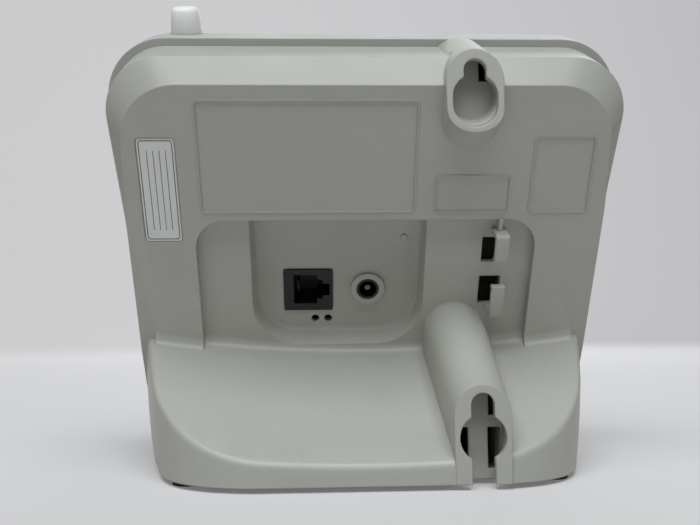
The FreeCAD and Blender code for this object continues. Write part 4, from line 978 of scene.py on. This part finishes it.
def makeSweep():
    # Floor that curves up into a backdrop behind the object.
    bpy.ops.object.select_all(action="DESELECT")
    bpy.ops.mesh.primitive_plane_add(size=1, location=(0, 0, 0))
    sweep = bpy.context.object
    sweep.name = "studioSweep"
    bpy.ops.object.mode_set(mode="EDIT")
    bpy.ops.mesh.select_all(action="SELECT")
    bpy.ops.transform.resize(value=(2 * studio["half"], 1, 1))
    bpy.ops.object.mode_set(mode="OBJECT")
    for vertex in sweep.data.vertices:
        vertex.co.y = studio["near"] if vertex.co.y > 0 else -studio["reach"] - studio["sweep"]
    bpy.ops.object.mode_set(mode="EDIT")
    bpy.ops.mesh.select_mode(type="EDGE")
    bpy.ops.mesh.select_all(action="DESELECT")
    bpy.ops.object.mode_set(mode="OBJECT")
    for edge in sweep.data.edges:
        edge.select = all(sweep.data.vertices[i].co.y < 0 for i in edge.vertices)
    bpy.ops.object.mode_set(mode="EDIT")
    bpy.ops.mesh.extrude_region_move(TRANSFORM_OT_translate={"value": (0, 0, studio["height"])})
    bpy.ops.mesh.select_all(action="DESELECT")
    bpy.ops.object.mode_set(mode="OBJECT")
    for edge in sweep.data.edges:
        ends = [sweep.data.vertices[i].co for i in edge.vertices]
        edge.select = all(end.y < 0 and end.z < 0.01 for end in ends)
    bpy.ops.object.mode_set(mode="EDIT")
    bpy.ops.mesh.bevel(offset=studio["sweep"], segments=24, affect="EDGES")
    bpy.ops.object.mode_set(mode="OBJECT")
    bpy.ops.object.shade_smooth()
    return sweep


def floorPaper():
    finish = Finish("floorPaper")
    colour = studio["floorColour"]
    finish.feed("Base Color", finish.blend(colour, shade(colour, 0.97), finish.noise(0.3, 3.0)))
    finish.feed("Roughness", 0.8 + finish.noise(0.02) * 0.1)
    # Painted light: its far and near parts glow pale, paler on the left of the view than on the right, to the
    # eye, to gloss and through glass, and light nothing.
    seen = finish.node("ShaderNodeLightPath", {}, {}, "Is Camera Ray")
    outputs = seen.socket.node.outputs
    for kind in ("Is Glossy Ray", "Is Transmission Ray"):
        seen += Wire(finish, outputs[kind])
    apart = finish.node("ShaderNodeSeparateXYZ", {}, {"Vector": finish.place}, "Y")
    away = finish.band(apart, *studio["glowFar"]) + finish.band(apart, *studio["glowNear"])
    across = finish.band(Wire(finish, apart.socket.node.outputs["X"]), *studio["glowAcross"])
    glow = finish.blend(studio["glowRight"], studio["glowLeft"], across)
    finish.feed("Emission Color", finish.blend((0, 0, 0, 1), glow, away * seen))
    finish.feed("Emission Strength", 1.0)
    return finish.material


sweep = makeSweep()
sweep.data.materials.append(floorPaper())


def softBox(name, place, aim, wide, deep, power, colour):
    bpy.ops.object.light_add(type="AREA", location=place)
    lamp = bpy.context.object
    lamp.name = name
    lamp.data.shape = "RECTANGLE"
    lamp.data.size = wide
    lamp.data.size_y = deep
    lamp.data.energy = power
    lamp.data.color = colour
    lamp.visible_camera = False
    lamp.rotation_euler = (Vector(aim) - Vector(place)).to_track_quat("-Z", "Y").to_euler()
    return lamp


lamps = {"overheadBox": {"place": (0.05, 0.55, 0.97), "aim": (0, 0, 0.05), "wide": 1.0, "deep": 0.7,
                         "power": 11.5, "colour": (0.94, 0.96, 1.0)},
         "frontFill": {"place": (-0.25, -0.85, 0.62), "aim": (0, -0.05, 0.08), "wide": 0.9, "deep": 0.5,
                       "power": 2.2, "colour": (0.95, 0.97, 1.0)}}
for lampName, lampLook in lamps.items():
    softBox(lampName, **lampLook)


def makeWorld():
    # Dim warm room light that shows pale to the eye, to gloss and through glass.
    world = bpy.data.worlds.new("studioWorld")
    world.use_nodes = True
    nodes, links = world.node_tree.nodes, world.node_tree.links
    rays = nodes.new("ShaderNodeLightPath")
    seen = nodes.new("ShaderNodeMath")
    seen.operation = "MAXIMUM"
    links.new(rays.outputs["Is Camera Ray"], seen.inputs[0])
    links.new(rays.outputs["Is Transmission Ray"], seen.inputs[1])
    mixed = nodes.new("ShaderNodeMix")
    mixed.data_type = "RGBA"
    links.new(seen.outputs[0], mixed.inputs["Factor"])
    mixed.inputs[6].default_value = studio["room"]
    mixed.inputs[7].default_value = studio["roomSeen"]
    links.new(mixed.outputs[2], nodes["Background"].inputs["Color"])
    scene.world = world


makeWorld()

lens = {"place": (0.01494, 0.2780, 0.05095), "lens": 37.77, "film": 36.0,
        "right": (-0.999285, 0.036429, -0.010071), "up": (-0.007291, 0.075648, 0.997108),
        "ahead": (-0.037086, -0.996469, 0.075329)}


def makeCamera():
    data = bpy.data.cameras.new("photoCamera")
    data.lens = lens["lens"]
    data.sensor_width = lens["film"]
    data.clip_start = 0.01
    camera = bpy.data.objects.new("photoCamera", data)
    scene.collection.objects.link(camera)
    right, up, ahead = (Vector(lens[key]) for key in ("right", "up", "ahead"))
    turn = Matrix((right, up, -ahead)).transposed().to_4x4()
    camera.matrix_world = Matrix.Translation(lens["place"]) @ turn
    scene.camera = camera


makeCamera()
scene.view_settings.view_transform = "Standard"
print("studio, lamps and camera")
